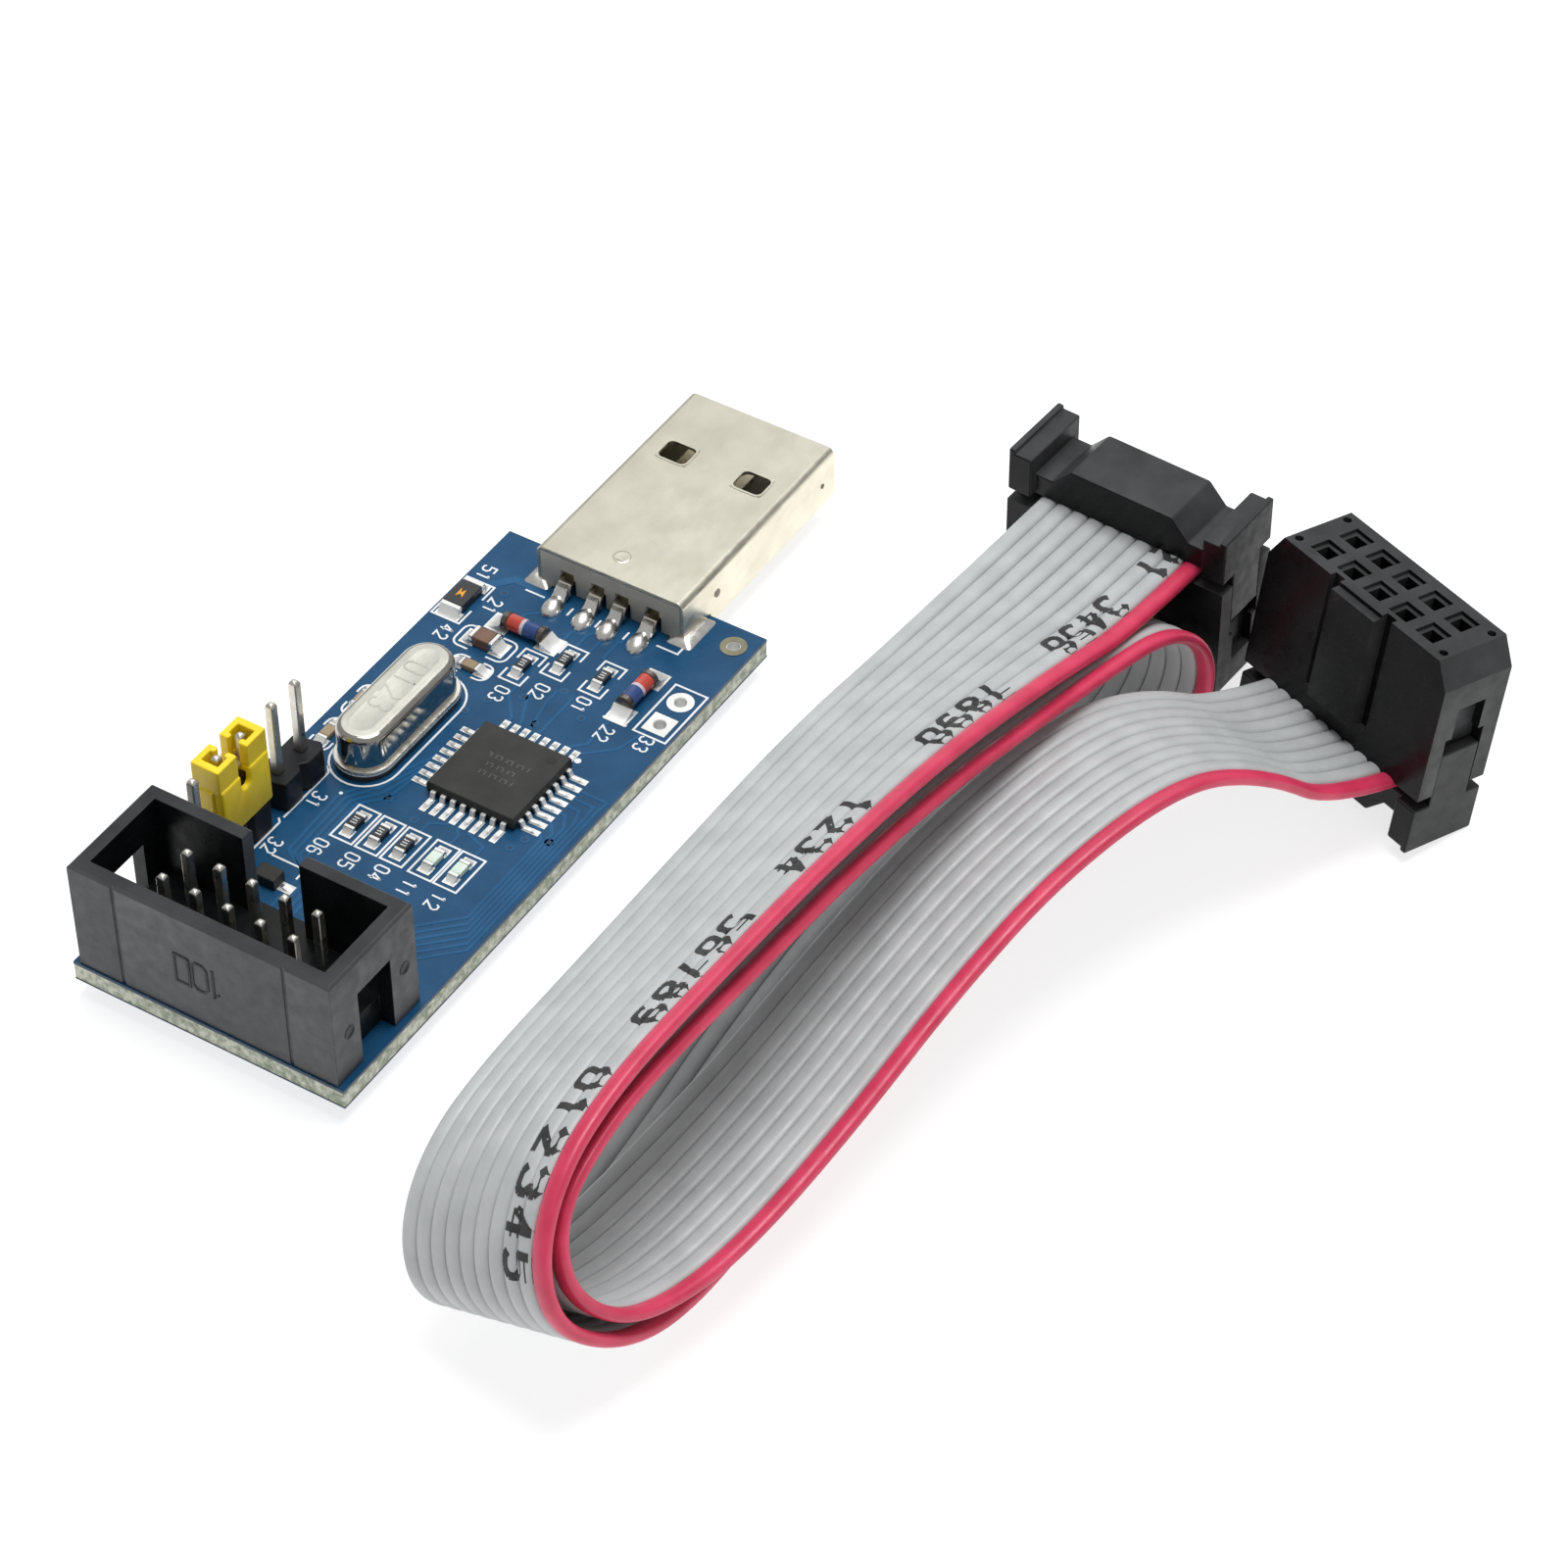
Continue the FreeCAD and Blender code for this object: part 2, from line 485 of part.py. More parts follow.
def microcontroller_leads():
    """Gull-wing strips on the four sides, slotted into eight leads each."""
    leads = new_body("microcontroller_leads")
    edge, tip, sheet_thick = "(chip_side / 2)", "(lead_span / 2)", "lead_sheet"
    seam, knee = "(chip_lift + chip_seam)", "(chip_side / 2 + 0.25)"
    wing = [(edge, seam), (knee, seam), (f"{tip} - lead_foot", sheet_thick), (tip, sheet_thick), (tip, "0"),
            (f"{tip} - lead_foot - {sheet_thick}", "0"),
            (f"{knee} - {sheet_thick}", f"{seam} - {sheet_thick}"),
            (edge, f"{seam} - {sheet_thick}")]
    for role in ("XZ_Plane", "YZ_Plane"):
        profile = new_sketch(leads, "wing_profile_" + role[:2], role)
        polygon(profile, wing)
        polygon(profile, [(f"-({x})", y) for x, y in reversed(wing)])
        pad(leads, profile, "7 * lead_pitch + lead_width", Midplane=True)
    gap, reach, middle = "lead_pitch - lead_width", "lead_span / 2", "lead_span / 4 + chip_side / 4"
    for side in (-1, 1):
        rows = new_sketch(leads, f"lead_gaps_x_{side + 1}", level=seam)
        columns = new_sketch(leads, f"lead_gaps_y_{side + 1}", level=seam)
        for k in range(-3, 4):
            rectangle(rows, reach, gap, f"{side} * ({middle})", f"({k}) * lead_pitch")
            rectangle(columns, gap, reach, f"({k}) * lead_pitch", f"{side} * ({middle})")
        pocket(leads, rows, seam)
        pocket(leads, columns, seam)
    place(leads, ("chip_x", "chip_y", BOARD_TOP))


def crystal_layer(name, radius, level, height):
    """One stadium-shaped layer of the crystal."""
    layer = new_body(name)
    outline = new_sketch(layer, name + "_outline", level=level)
    stadium(outline, "crystal_span", radius)
    solid = pad(layer, outline, height)
    place(layer, ("crystal_x", "crystal_y", BOARD_TOP))
    return layer, solid


def crystal():
    crystal_layer("crystal_spacer", "crystal_radius + spacer_margin", "0", "spacer_height")
    crystal_layer("crystal_base", "crystal_radius + flange_margin", "spacer_height", "flange_height")
    can, solid = crystal_layer("crystal_can", "crystal_radius", "spacer_height + flange_height", "can_height")
    top = SIZES["spacer_height"] + SIZES["flange_height"] + SIZES["can_height"]
    soften(can, solid, "Fillet", "can_rounding", at_height(top))
    leads = [rod(f"crystal_lead_{side}", "crystal_lead_radius", BOARD_TOP,
                 (f"crystal_x + {side} * crystal_lead_offset", "crystal_y", "0"), "z") for side in (-1, 1)]
    group("crystal_leads", leads)


# small parts on the board

def chip_parts(kind, places, size, end):
    """Bodies and end terminals of two-terminal chips, as one group of each."""
    length, width, height = size
    bodies, ends = [], []
    for number, (x, y, along) in enumerate(places):
        core = f"{length} - 2 * {end}"
        shape = (core, width, height) if along == "x" else (width, core, height)
        bodies.append(block(f"{kind}_{number}", shape, (x, y), BOARD_TOP))
        for side in (-1, 1):
            shift = f"{side} * ({length} - {end}) / 2"
            shape = (end, width, height) if along == "x" else (width, end, height)
            spot = (f"{x} + {shift}", y) if along == "x" else (x, f"{y} + {shift}")
            ends.append(block(f"{kind}_{number}_end", shape, spot, BOARD_TOP))
    return bodies, ends


def small_parts():
    small, medium, fuse = [[f"{name}_{side}" for side in ("length", "width", "height")]
                           for name in ("small", "medium", "fuse")]
    for kind, name, places, size, end in (
            ("resistor", "resistor", RESISTORS, small, "small_end"),
            ("led", "led", LEDS, small, "small_end"),
            ("polyfuse", "polyfuse", FUSES, fuse, "fuse_end")):
        bodies, ends = chip_parts(kind, places, size, end)
        group(name + ("_body" if len(bodies) == 1 else "_bodies"), bodies)
        group(name + "_terminals", ends)
    bodies, ends = chip_parts("capacitor", SMALL_CAPACITORS, small, "small_end")
    more_bodies, more_ends = chip_parts("large_capacitor", LARGE_CAPACITORS, medium, "medium_end")
    group("capacitor_bodies", bodies + more_bodies)
    group("capacitor_terminals", ends + more_ends)


def zener_diodes():
    glass, caps = [], []
    for number, (x, y, along) in enumerate(DIODES):
        for part, radius, length, starts in (
                (glass, "diode_glass_radius", "diode_length - 2 * diode_end", ["diode_end"]),
                (caps, "diode_radius", "diode_end", ["0", "diode_length - diode_end"])):
            for begin in starts:
                shift = f"{begin} - diode_length / 2"
                spot = (f"{x} + {shift}", y) if along == "x" else (x, f"{y} + {shift}")
                height = f"{BOARD_TOP} + diode_radius"
                part.append(rod(f"diode_{number}", radius, length, (*spot, height), along))
    group("zener_diode_glass", glass)
    group("zener_diode_caps", caps)


def notch_diode():
    x, y = NOTCH_PART
    body = block("notch_diode_block", ("notch_part_width", "notch_part_length", "notch_part_height"), (x, y),
                 BOARD_TOP)
    leads = [block("notch_diode_lead", ("notch_lead_width", "notch_lead_length", "notch_lead_height"),
                   (x, f"{y} + {side} * (notch_part_length + notch_lead_length) / 2"), BOARD_TOP)
             for side in (-1, 1)]
    group("notch_diode_body", [body])
    group("notch_diode_leads", leads)


def solder():
    pads = []
    for y in USB_CONTACTS:
        cone = doc.addObject("Part::Cone", "pad_solder")
        bind(cone, "Radius1", "solder_base_radius")
        bind(cone, "Radius2", "solder_top_radius")
        bind(cone, "Height", "pad_height")
        place(cone, ("pad_x", y, BOARD_TOP))
        pads.append(cone)
    group("usb_pad_solder", pads)
    drops, holes = [], []
    for x, y in all_pins():
        cone = doc.addObject("Part::Cone", "pin_solder")
        bind(cone, "Radius1", "pin_width")
        bind(cone, "Radius2", "solder_base_radius")
        bind(cone, "Height", "solder_drop")
        place(cone, (x, y, "standoff - solder_drop"))
        drops.append(cone)
        holes.append(block("pin_solder_hole", ("pin_width", "pin_width", "solder_drop"), (x, y),
                           "standoff - solder_drop"))
    cut = doc.addObject("Part::Cut", "header_solder_cones")
    cut.Base, cut.Tool = [doc.addObject("Part::Compound", name) for name in ("solder_drops", "solder_holes")]
    cut.Base.Links = drops
    cut.Tool.Links = holes
    add_node("header_solder_cones", cut)


# the ribbon's sockets, each built in its own frame and then stood where it lies

def socket_centres():
    return [(f"{column} * pitch", f"{side} * pitch / 2") for side in (-1, 1) for column in range(-2, 3)]


def socket_body(name):
    """The socket's housing, from the ribbon to the mating face."""
    housing = new_body(name)
    low = "(cover_height + ribbon_thickness)"
    half, top = "(socket_length / 2)", "socket_height"
    profile = new_sketch(housing, name + "_profile", "XZ_Plane")
    polygon(profile, [(f"-{half}", low), (half, low), (half, f"{top} - corner_cut_height"),
                      (f"{half} - corner_cut_width", top), (f"corner_cut_width - {half}", top),
                      (f"-{half}", f"{top} - corner_cut_height")])
    pad(housing, profile, "socket_width", Midplane=True)
    bump = new_sketch(housing, name + "_bump", level="bump_low")
    rectangle(bump, "bump_width", "bump_height + bump_groove_depth", "0",
              "(bump_groove_depth - bump_height - socket_width) / 2")
    pad(housing, bump, "bump_high - bump_low")
    cuts = new_sketch(housing, name + "_end_recesses", level=f"{low} + recess_reach")
    latches = new_sketch(housing, name + "_latch_windows", level="latch_high")
    grooves = new_sketch(housing, name + "_bump_grooves", level=top)
    for side in (-1, 1):
        rectangle(cuts, "arm_sheet", "arm_width", f"{side} * ({half} - arm_sheet / 2)")
        rectangle(latches, "latch_depth", "latch_width", f"{side} * ({half} - latch_depth / 2)")
        rectangle(grooves, "bump_groove_width", "bump_groove_depth",
                  f"{side} * (bump_width + bump_groove_width) / 2", "(bump_groove_depth - socket_width) / 2")
    pocket(housing, cuts, "recess_reach")
    pocket(housing, latches, "latch_high - latch_low")
    pocket(housing, grooves, "socket_height - bump_low")
    holes = new_sketch(housing, name + "_holes", level=top)
    mouths = new_sketch(housing, name + "_mouths", level=top)
    vents = new_sketch(housing, name + "_vents", level=top)
    for x, y in socket_centres():
        rectangle(holes, "socket_hole", "socket_hole", x, y)
        rectangle(mouths, "socket_mouth", "socket_mouth", x, y)
    for x in (-1, 1):
        for y in (-1, 1):
            disc(vents, "vent_radius", f"{x} * 2.75 * pitch", f"{y} * 0.85 * pitch")
    pocket(housing, mouths, "socket_mouth_depth")
    pocket(housing, holes, f"socket_height - {low}")
    pocket(housing, vents, "vent_depth")
    return housing


def socket_cover(name):
    """The cover that clamps the ribbon: a spine with sloped ends, two ears and two arms that snap on."""
    cover = new_body(name)
    half, ear = "(socket_length / 2)", "(socket_length / 2 - ear_length)"
    flat, foot = "(spine_top / 2)", "(spine_top / 2 + spine_slope)"
    profile = new_sketch(cover, name + "_spine", "XZ_Plane")
    shoulder = "spine_drop + ridge_height"
    polygon(profile, [(ear, "cover_height"), (f"-{ear}", "cover_height"), (f"-{ear}", shoulder),
                      (f"-{foot}", shoulder), (f"-{flat}", "ridge_height"), (flat, "ridge_height"),
                      (foot, shoulder), (ear, shoulder)])
    pad(cover, profile, "spine_width", Midplane=True)
    ears = new_sketch(cover, name + "_ears", level="ridge_height")
    ridges = new_sketch(cover, name + "_ridges")
    arms = new_sketch(cover, name + "_arms", level="cover_height")
    for side in (-1, 1):
        rectangle(ears, "ear_length", "socket_width", f"{side} * ({half} - ear_length / 2)")
        rectangle(ridges, "ridge_sheet", "socket_width", f"{side} * ({half} - ridge_sheet / 2)")
        rectangle(arms, "arm_sheet", "arm_width", f"{side} * ({half} - arm_sheet / 2)")
    pad(cover, ears, "cover_height - ridge_height")
    pad(cover, ridges, "ridge_height")
    pad(cover, arms, "arm_reach")
    return cover


def socket_contacts(name):
    """Ten forks, each with two leaves that grip a pin."""
    forks = new_body(name)
    low = "(cover_height + ribbon_thickness)"
    roots = new_sketch(forks, name + "_roots", level=low)
    leaves = new_sketch(forks, name + "_leaves", level=low)
    for x, y in socket_centres():
        rectangle(roots, "socket_hole", "fork_width", x, y)
        for side in (-1, 1):
            rectangle(leaves, "fork_sheet", "fork_width", f"{x} + {side} * (socket_hole - fork_sheet) / 2", y)
    pad(forks, roots, "wire_pitch")
    pad(forks, leaves, "fork_reach")
    return forks


def sockets(stands):
    for letter, stand in stands.items():
        for build, piece in ((socket_body, "body"), (socket_cover, "cover"), (socket_contacts, "contacts")):
            build(f"idc_socket_{letter}_{piece}").Placement = stand


def socket_stands():
    """Socket A stands on its mating face, and socket B on one edge of its cover, leaning away."""
    lean = SIZES["socket_b_lean"]
    upside_down = Rotation(Vector(0, 0, 1), SIZES["socket_a_turn"]) * Rotation(Vector(1, 0, 0), 180)
    leaning = Rotation(Vector(0, 0, 1), SIZES["socket_b_turn"]) * Rotation(Vector(1, 0, 0), -lean)
    rise = SIZES["socket_width"] / 2 * math.sin(math.radians(lean))
    place_a = Vector(SIZES["socket_a_x"], SIZES["socket_a_y"], SIZES["socket_height"])
    place_b = Vector(SIZES["socket_b_x"], SIZES["socket_b_y"], rise)
    return {"a": Placement(place_a, upside_down), "b": Placement(place_b, leaning)}


# the ribbon cable

def ribbon_route(stands):
    """The route's points with heading and tilt, from the far face of one socket to that of the other."""
    slot = Vector(0, 0, SIZES["cover_height"] + SIZES["ribbon_thickness"] / 2)
    face = SIZES["socket_width"] / 2
    ends = {"a": (-face, SIZES["ribbon_lead_in"]), "b": (-SIZES["ribbon_lead_out"], face)}
    starts = {letter: [(stands[letter].multVec(slot + Vector(0, reach, 0)), SIZES[f"socket_{letter}_turn"], 0)
                       for reach in reaches] for letter, reaches in ends.items()}
    free = [(Vector(x, y, z), heading, tilt) for x, y, z, heading, tilt in RIBBON]
    return starts["a"] + free + starts["b"]


def ribbon_stations(route):
    """Sections along the route's runs and tangent arcs: centre, direction, place on the list of points."""
    points = [point for point, heading, tilt in route]
    edges, stations = [], [(points[0], (points[1] - points[0]).normalize(), 0.0)]
    start, radii = points[0], []
    for k in range(1, len(points) - 1):
        before, after = points[k] - points[k - 1], points[k + 1] - points[k]
        tangent = SIZES["arc_share"] * min(before.Length, after.Length)
        turn = before.getAngle(after)
        radii.append(tangent / math.tan(turn / 2))
        before.normalize()
        after.normalize()
        enter, leave = points[k] - before * tangent, points[k] + after * tangent
        inward = (after - before).normalize()
        middle = points[k] + inward * (radii[-1] / math.cos(turn / 2) - radii[-1])
        edges += [Part.LineSegment(start, enter).toShape(), Part.Arc(enter, middle, leave).toShape()]
        stations += [(enter, before, k - 0.4), (middle, (before + after).normalize(), float(k)),
                     (leave, after, k + 0.4)]
        start = leave
    edges.append(Part.LineSegment(start, points[-1]).toShape())
    stations.append((points[-1], (points[-1] - points[-2]).normalize(), len(points) - 1.0))
    print("ribbon radii", [round(radius, 1) for radius in radii])
    return Part.Wire(edges), stations


def width_direction(route, direction, spot):
    """Across the ribbon, towards its marked edge, square to the way it runs."""
    first = min(int(spot), len(route) - 2)
    share = spot - first
    heading, tilt = [math.radians(route[first][k] * (1 - share) + route[first + 1][k] * share)
                     for k in (1, 2)]
    across = Vector(math.cos(heading) * math.cos(tilt), math.sin(heading) * math.cos(tilt), math.sin(tilt))
    return (across - direction * across.dot(direction)).normalize()


def ribbon(stands):
    route = ribbon_route(stands)
    path, stations = ribbon_stations(route)
    thick, pitch = SIZES["ribbon_thickness"], SIZES["wire_pitch"]
    for name, near, far in (("ribbon_cable", -5 * pitch, 4 * pitch),
                            ("ribbon_marker_wire", 4 * pitch, 5 * pitch)):
        sections = []
        for centre, direction, spot in stations:
            across = width_direction(route, direction, spot)
            up = direction.cross(across) * (thick / 2)
            corners = [centre + across * near - up, centre + across * far - up,
                       centre + across * far + up, centre + across * near + up]
            sections.append(Part.makePolygon(corners + corners[:1]))
        strip = doc.addObject("Part::Feature", name)
        strip.Shape = Part.makeLoft(sections, True, True)
        add_node(name, strip)
        print(name, "length", round(path.Length, 1), "volume", round(strip.Shape.Volume, 1),
              "section x length", round((far - near) * thick * path.Length, 1))


def build():
    fill_sheet()
    circuit_board()
    box_header_shroud()
    square_pins("box_header_pins", header_pins(), "header_pin_height")
    for ways, middle, count in (("3way", "three_way_x", 3), ("2way", "two_way_x", 2)):
        strip_base(f"jumper_header_{ways}_base", middle, count)
        square_pins(f"jumper_header_{ways}_pins", strip_pins(middle, count), "jumper_pin_height")
    jumper_cap_housing()
    jumper_cap_clip()
    usb_shell()
    usb_insulator()
    usb_contacts()
    usb_rear_cover()
    microcontroller_body()
    microcontroller_leads()
    crystal()
    small_parts()
    zener_diodes()
    notch_diode()
    solder()
    stands = socket_stands()
    sockets(stands)
    ribbon(stands)
    doc.recompute()


def check():
    for thing in doc.Objects:
        if "Invalid" in thing.State or "Error" in thing.State:
            raise RuntimeError(f"{thing.Label} failed: {thing.State}")
    for node in nodes:
        if node.Shape.isNull() or not node.Shape.isValid():
            raise RuntimeError(f"{node.Label} has no valid shape")


def export():
    os.makedirs("parts", exist_ok=True)
    for node in nodes:
        node.Shape.exportStep(f"parts/{node.Label}.step")
        box = node.Shape.BoundBox
        corners = [round(value, 2) for value in (box.XMin, box.XMax, box.YMin, box.YMax, box.ZMin, box.ZMax)]
        print(f"{node.Label:28s} {len(node.Shape.Solids):3d} solids {node.Shape.Volume:9.2f} mm3 {corners}")


build()
check()
export()
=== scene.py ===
"""Looks for the USB programmer board and its ribbon cable. Lengths are millimetres times MM."""

import json
import math

import bmesh
import bpy
import numpy as np
from mathutils import Matrix, Vector


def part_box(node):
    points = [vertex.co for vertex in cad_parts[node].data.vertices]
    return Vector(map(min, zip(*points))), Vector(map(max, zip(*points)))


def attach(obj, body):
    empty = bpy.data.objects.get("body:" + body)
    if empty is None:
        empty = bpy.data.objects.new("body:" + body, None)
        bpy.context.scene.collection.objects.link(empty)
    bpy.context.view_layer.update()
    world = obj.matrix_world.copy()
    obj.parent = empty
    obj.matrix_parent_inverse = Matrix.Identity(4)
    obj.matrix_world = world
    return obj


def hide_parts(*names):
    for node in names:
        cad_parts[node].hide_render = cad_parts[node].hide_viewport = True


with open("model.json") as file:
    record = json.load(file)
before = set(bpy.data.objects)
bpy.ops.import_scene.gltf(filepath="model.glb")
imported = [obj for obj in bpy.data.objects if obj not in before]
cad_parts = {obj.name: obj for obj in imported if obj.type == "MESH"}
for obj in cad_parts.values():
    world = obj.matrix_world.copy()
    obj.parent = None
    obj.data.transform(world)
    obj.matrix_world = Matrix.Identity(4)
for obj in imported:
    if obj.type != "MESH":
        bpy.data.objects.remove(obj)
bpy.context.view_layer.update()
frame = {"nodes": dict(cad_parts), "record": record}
slots = {part["node"]: part["material_slot"] for part in frame["record"]["subparts"]}
bodies = {node: body for body, nodes in frame["record"]["behaviour"]["bodies"].items() for node in nodes}

MM = 0.001
PROGRAMMER, JUMPER, CABLE = "programmer", "jumper", "cable"

# board, in mm
BOARD_LOW, BOARD_TOP = 1.4, 3.0
TRACE_SHEET, PAD_SHEET, PRINT_SHEET = 0.02, 0.05, 0.04
TRACE_WIDTH, PRINT_WIDTH = 0.24, 0.15
CORNER_HOLE = (14.6, -9.1)
LINK_HOLES = ((5.45, -9.1), (7.99, -9.1))
HOLE_RADIUS = 0.5
VIAS = [(-0.3, 2.8), (1.4, 2.1), (4.8, -1.8), (1.1, -1.95), (-9.45, -7.2), (-8.3, -7.6), (-7.7, -9.1), (-10.6, -0.4),
        (2.9, 0.2), (-9.9, 2.2), (12.9, -3.2), (3.2, -4.3), (-20.9, -3.6), (-18.9, 0.5), (10.8, 7.2), (-1.2, 8.3)]
# solder joints: body, terminals, reach beyond the terminal, rise up it, margin beside it
JOINTS = [("resistor_bodies", "resistor_terminals", 0.5, 0.32, 0.06), ("led_bodies", "led_terminals", 0.55, 0.3, 0.08),
          ("capacitor_bodies", "capacitor_terminals", 0.75, 0.42, 0.12),
          ("polyfuse_body", "polyfuse_terminals", 0.5, 0.5, 0.15),
          ("notch_diode_body", "notch_diode_leads", 0.65, 0.2, 0.25),
          ("zener_diode_glass", "zener_diode_caps", 1.2, 0.55, 0.12)]
# plain numbers beside the parts: text and where its middle stands
LABELS = [
    ("06", -16.0, 3.5), ("05", -16.0, 1.0), ("04", -15.9, -1.3), ("11", -16.1, -3.6), ("12", -16.1, -5.9),
    ("03", 2.3, 1.8), ("02", 3.9, -0.4), ("01", 4.3, -3.5), ("22", 2.75, -6.4), ("33", 3.3, -9.2),
    ("31", -12.5, 6.2), ("32", -17.5, 6.1), ("42", 5.4, 8.5), ("21", 9.3, 7.2), ("51", 11.9, 9.5),
]
PRINT_LINES = [
    [(-15.0, 7.0), (-10.0, 7.0)], [(-10.0, 7.0), (-9.5, 7.4)], [(-21.5, 6.95), (-15.5, 6.95)],
    [(-15.5, 6.95), (-15.2, 7.25)], [(11.9, -4.6), (11.9, -6.3), (12.6, -6.3)], [(11.9, 4.6), (11.9, 6.2)],
    [(11.2, 2.3), (12.0, 2.3)], [(11.2, 0.0), (12.0, 0.0)], [(11.2, -2.3), (12.0, -2.3)],
    [(4.15, -7.3), (4.15, -5.4)], [(8.95, 1.35), (8.4, 1.35), (8.4, 2.6)], [(-22.6, 6.0), (-21.2, 6.0), (-21.2, 5.2)],
    [(-19.2, 2.9), (-18.2, 2.9), (-18.2, 5.6)],
]

# ribbon: WIRES wires side by side, with plain factory digits (start along it, text)
WIRES, WIRE_PITCH, RIBBON_THICKNESS, WEB_THICKNESS = 10, 1.27, 0.9, 0.16
RIBBON_PRINT = [(4.6, "21"), (12.0, "3456"), (26.6, "7890"), (42.0, "1234"), (54.8, "56789"), (69.6, "012345")]
RIBBON_DIGIT_STEP, RIBBON_DIGIT_WIDTH, RIBBON_DIGIT_HEIGHT = 2.25, 1.35, 1.9
RIBBON_PRINT_NEAR, RIBBON_STROKE = 2.95, 0.48
SOCKET_LEAN = 8.9

# the ribbon's route from one socket's far face to the other's: place in mm, heading and tilt of its width
ROUTE = [
    (35.19, -30.49, 11.35, -93.7, 0), (23.22, -29.72, 11.35, -93.7, 0),
    (12.0, -29.5, 13.8, -91, 12), (0.5, -28.9, 15.6, -93, 19), (-12.0, -28.5, 16.2, -95, 25),
    (-24.0, -28.2, 16.2, -96, 28), (-34.0, -28.0, 16.2, -97, 29), (-40.6, -28.3, 15.2, -98, 27),
    (-44.5, -29.1, 11.6, -98, 24), (-45.1, -30.5, 7.0, -95, 21), (-41.6, -31.9, 3.4, -88, 15),
    (-35.5, -32.6, 2.0, -84, 11), (-24.0, -31.9, 1.7, -84, 8), (-12.0, -30.6, 1.2, -86, 5),
    (0.0, -30.0, 0.8, -88, 2), (10.5, -30.9, 0.6, -92, 0), (18.5, -32.2, 0.7, -96, 0),
    (24.5, -33.0, 0.9, -97, 1), (27.7, -33.3, 3.6, -98, 4), (27.7, -32.9, 7.2, -99, 8),
    (24.4, -31.9, 9.9, -99, 12), (18.0, -30.9, 10.6, -98, 15), (10.0, -30.2, 11.6, -97, 19),
    (1.0, -29.6, 12.6, -95, 25), (-9.0, -29.1, 13.1, -94, 30), (-19.0, -28.9, 13.3, -95, 33),
    (-29.0, -28.5, 13.8, -96, 33), (-36.3, -28.4, 14.0, -97, 31), (-42.0, -28.8, 12.4, -98, 28),
    (-43.6, -30.3, 8.1, -95, 24), (-41.2, -32.0, 5.0, -90, 19), (-36.0, -33.3, 3.9, -88, 16),
    (-29.0, -34.3, 4.3, -92, 15), (-20.0, -35.4, 6.0, -97, 17), (-10.5, -36.5, 8.8, -101, 18),
    (0.0, -38.2, 11.5, -104, 17), (10.5, -41.1, 12.8, -107, 13), (16.8, -43.9, 10.5, -110, 7),
    (22.52, -46.78, 5.48, -110.9, 0), (31.94, -50.38, 3.90, -110.9, 0),
]


# materials

NOISE_DETAIL, DULL_SPECULAR = 3.0, 0.2


def new_material(name, colour, roughness, metallic=0.0, **sockets):
    material = bpy.data.materials.new(name)
    material.use_nodes = True
    inputs = shader_inputs(material)
    inputs["Base Color"].default_value = (*colour, 1.0)
    inputs["Roughness"].default_value = roughness
    inputs["Metallic"].default_value = metallic
    for key, value in sockets.items():
        inputs[key.replace("_", " ")].default_value = value
    return material


def shader_inputs(material):
    return material.node_tree.nodes["Principled BSDF"].inputs


def add_node(material, kind, **settings):
    node = material.node_tree.nodes.new(kind)
    for key, value in settings.items():
        if hasattr(node, key):
            setattr(node, key, value)
        else:
            node.inputs[key.replace("_", " ")].default_value = value
    return node


def noise(material, size_mm, detail=NOISE_DETAIL, stretch=(1, 1, 1)):
    """Object-space noise whose features are about size_mm across."""
    tree = material.node_tree
    place = add_node(material, "ShaderNodeTexCoord")
    scale = add_node(material, "ShaderNodeMapping", Scale=[1 / (size_mm * MM * s) for s in stretch])
    cloud = add_node(material, "ShaderNodeTexNoise", Scale=1.0, Detail=detail)
    tree.links.new(place.outputs["Object"], scale.inputs["Vector"])
    tree.links.new(scale.outputs["Vector"], cloud.inputs["Vector"])
    return cloud.outputs["Fac"]


def ramp(material, source, stops):
    node = add_node(material, "ShaderNodeValToRGB")
    elements = node.color_ramp.elements
    while len(elements) < len(stops):
        elements.new(0.5)
    for element, (at, colour) in zip(elements, stops):
        element.position = at
        element.color = (*colour, 1.0)
    material.node_tree.links.new(source, node.inputs["Fac"])
    return node.outputs["Color"]


def vary_colour(material, size_mm, low, high):
    colour = ramp(material, noise(material, size_mm), [(0.35, low), (0.65, high)])
    material.node_tree.links.new(colour, shader_inputs(material)["Base Color"])


def vary_roughness(material, size_mm, low, high, stretch=(1, 1, 1)):
    value = ramp(material, noise(material, size_mm, 4.0, stretch), [(0.3, (low,) * 3), (0.7, (high,) * 3)])
    material.node_tree.links.new(value, shader_inputs(material)["Roughness"])


def bump(material, size_mm, height_mm, stretch=(1, 1, 1)):
    tree = material.node_tree
    node = add_node(material, "ShaderNodeBump", Strength=1.0, Distance=height_mm * MM)
    tree.links.new(noise(material, size_mm, stretch=stretch), node.inputs["Height"])
    tree.links.new(node.outputs["Normal"], shader_inputs(material)["Normal"])


def plastic(name, low, high, roughness, grain_mm=0.12, grain_height=0.006, cloud_mm=2.5):
    material = new_material(name, low, roughness)
    vary_colour(material, cloud_mm, low, high)
    vary_roughness(material, 0.9, roughness - 0.08, roughness + 0.1)
    bump(material, grain_mm, grain_height)
    return material


def metal(name, low, high, roughness, stretch=(1, 1, 1), grain_mm=0.4, grain_height=0.004):
    material = new_material(name, low, roughness, 1.0)
    vary_colour(material, 3.0, low, high)
    vary_roughness(material, 0.6, roughness - 0.06, roughness + 0.12, stretch)
    bump(material, grain_mm, grain_height, stretch=stretch)
    return material


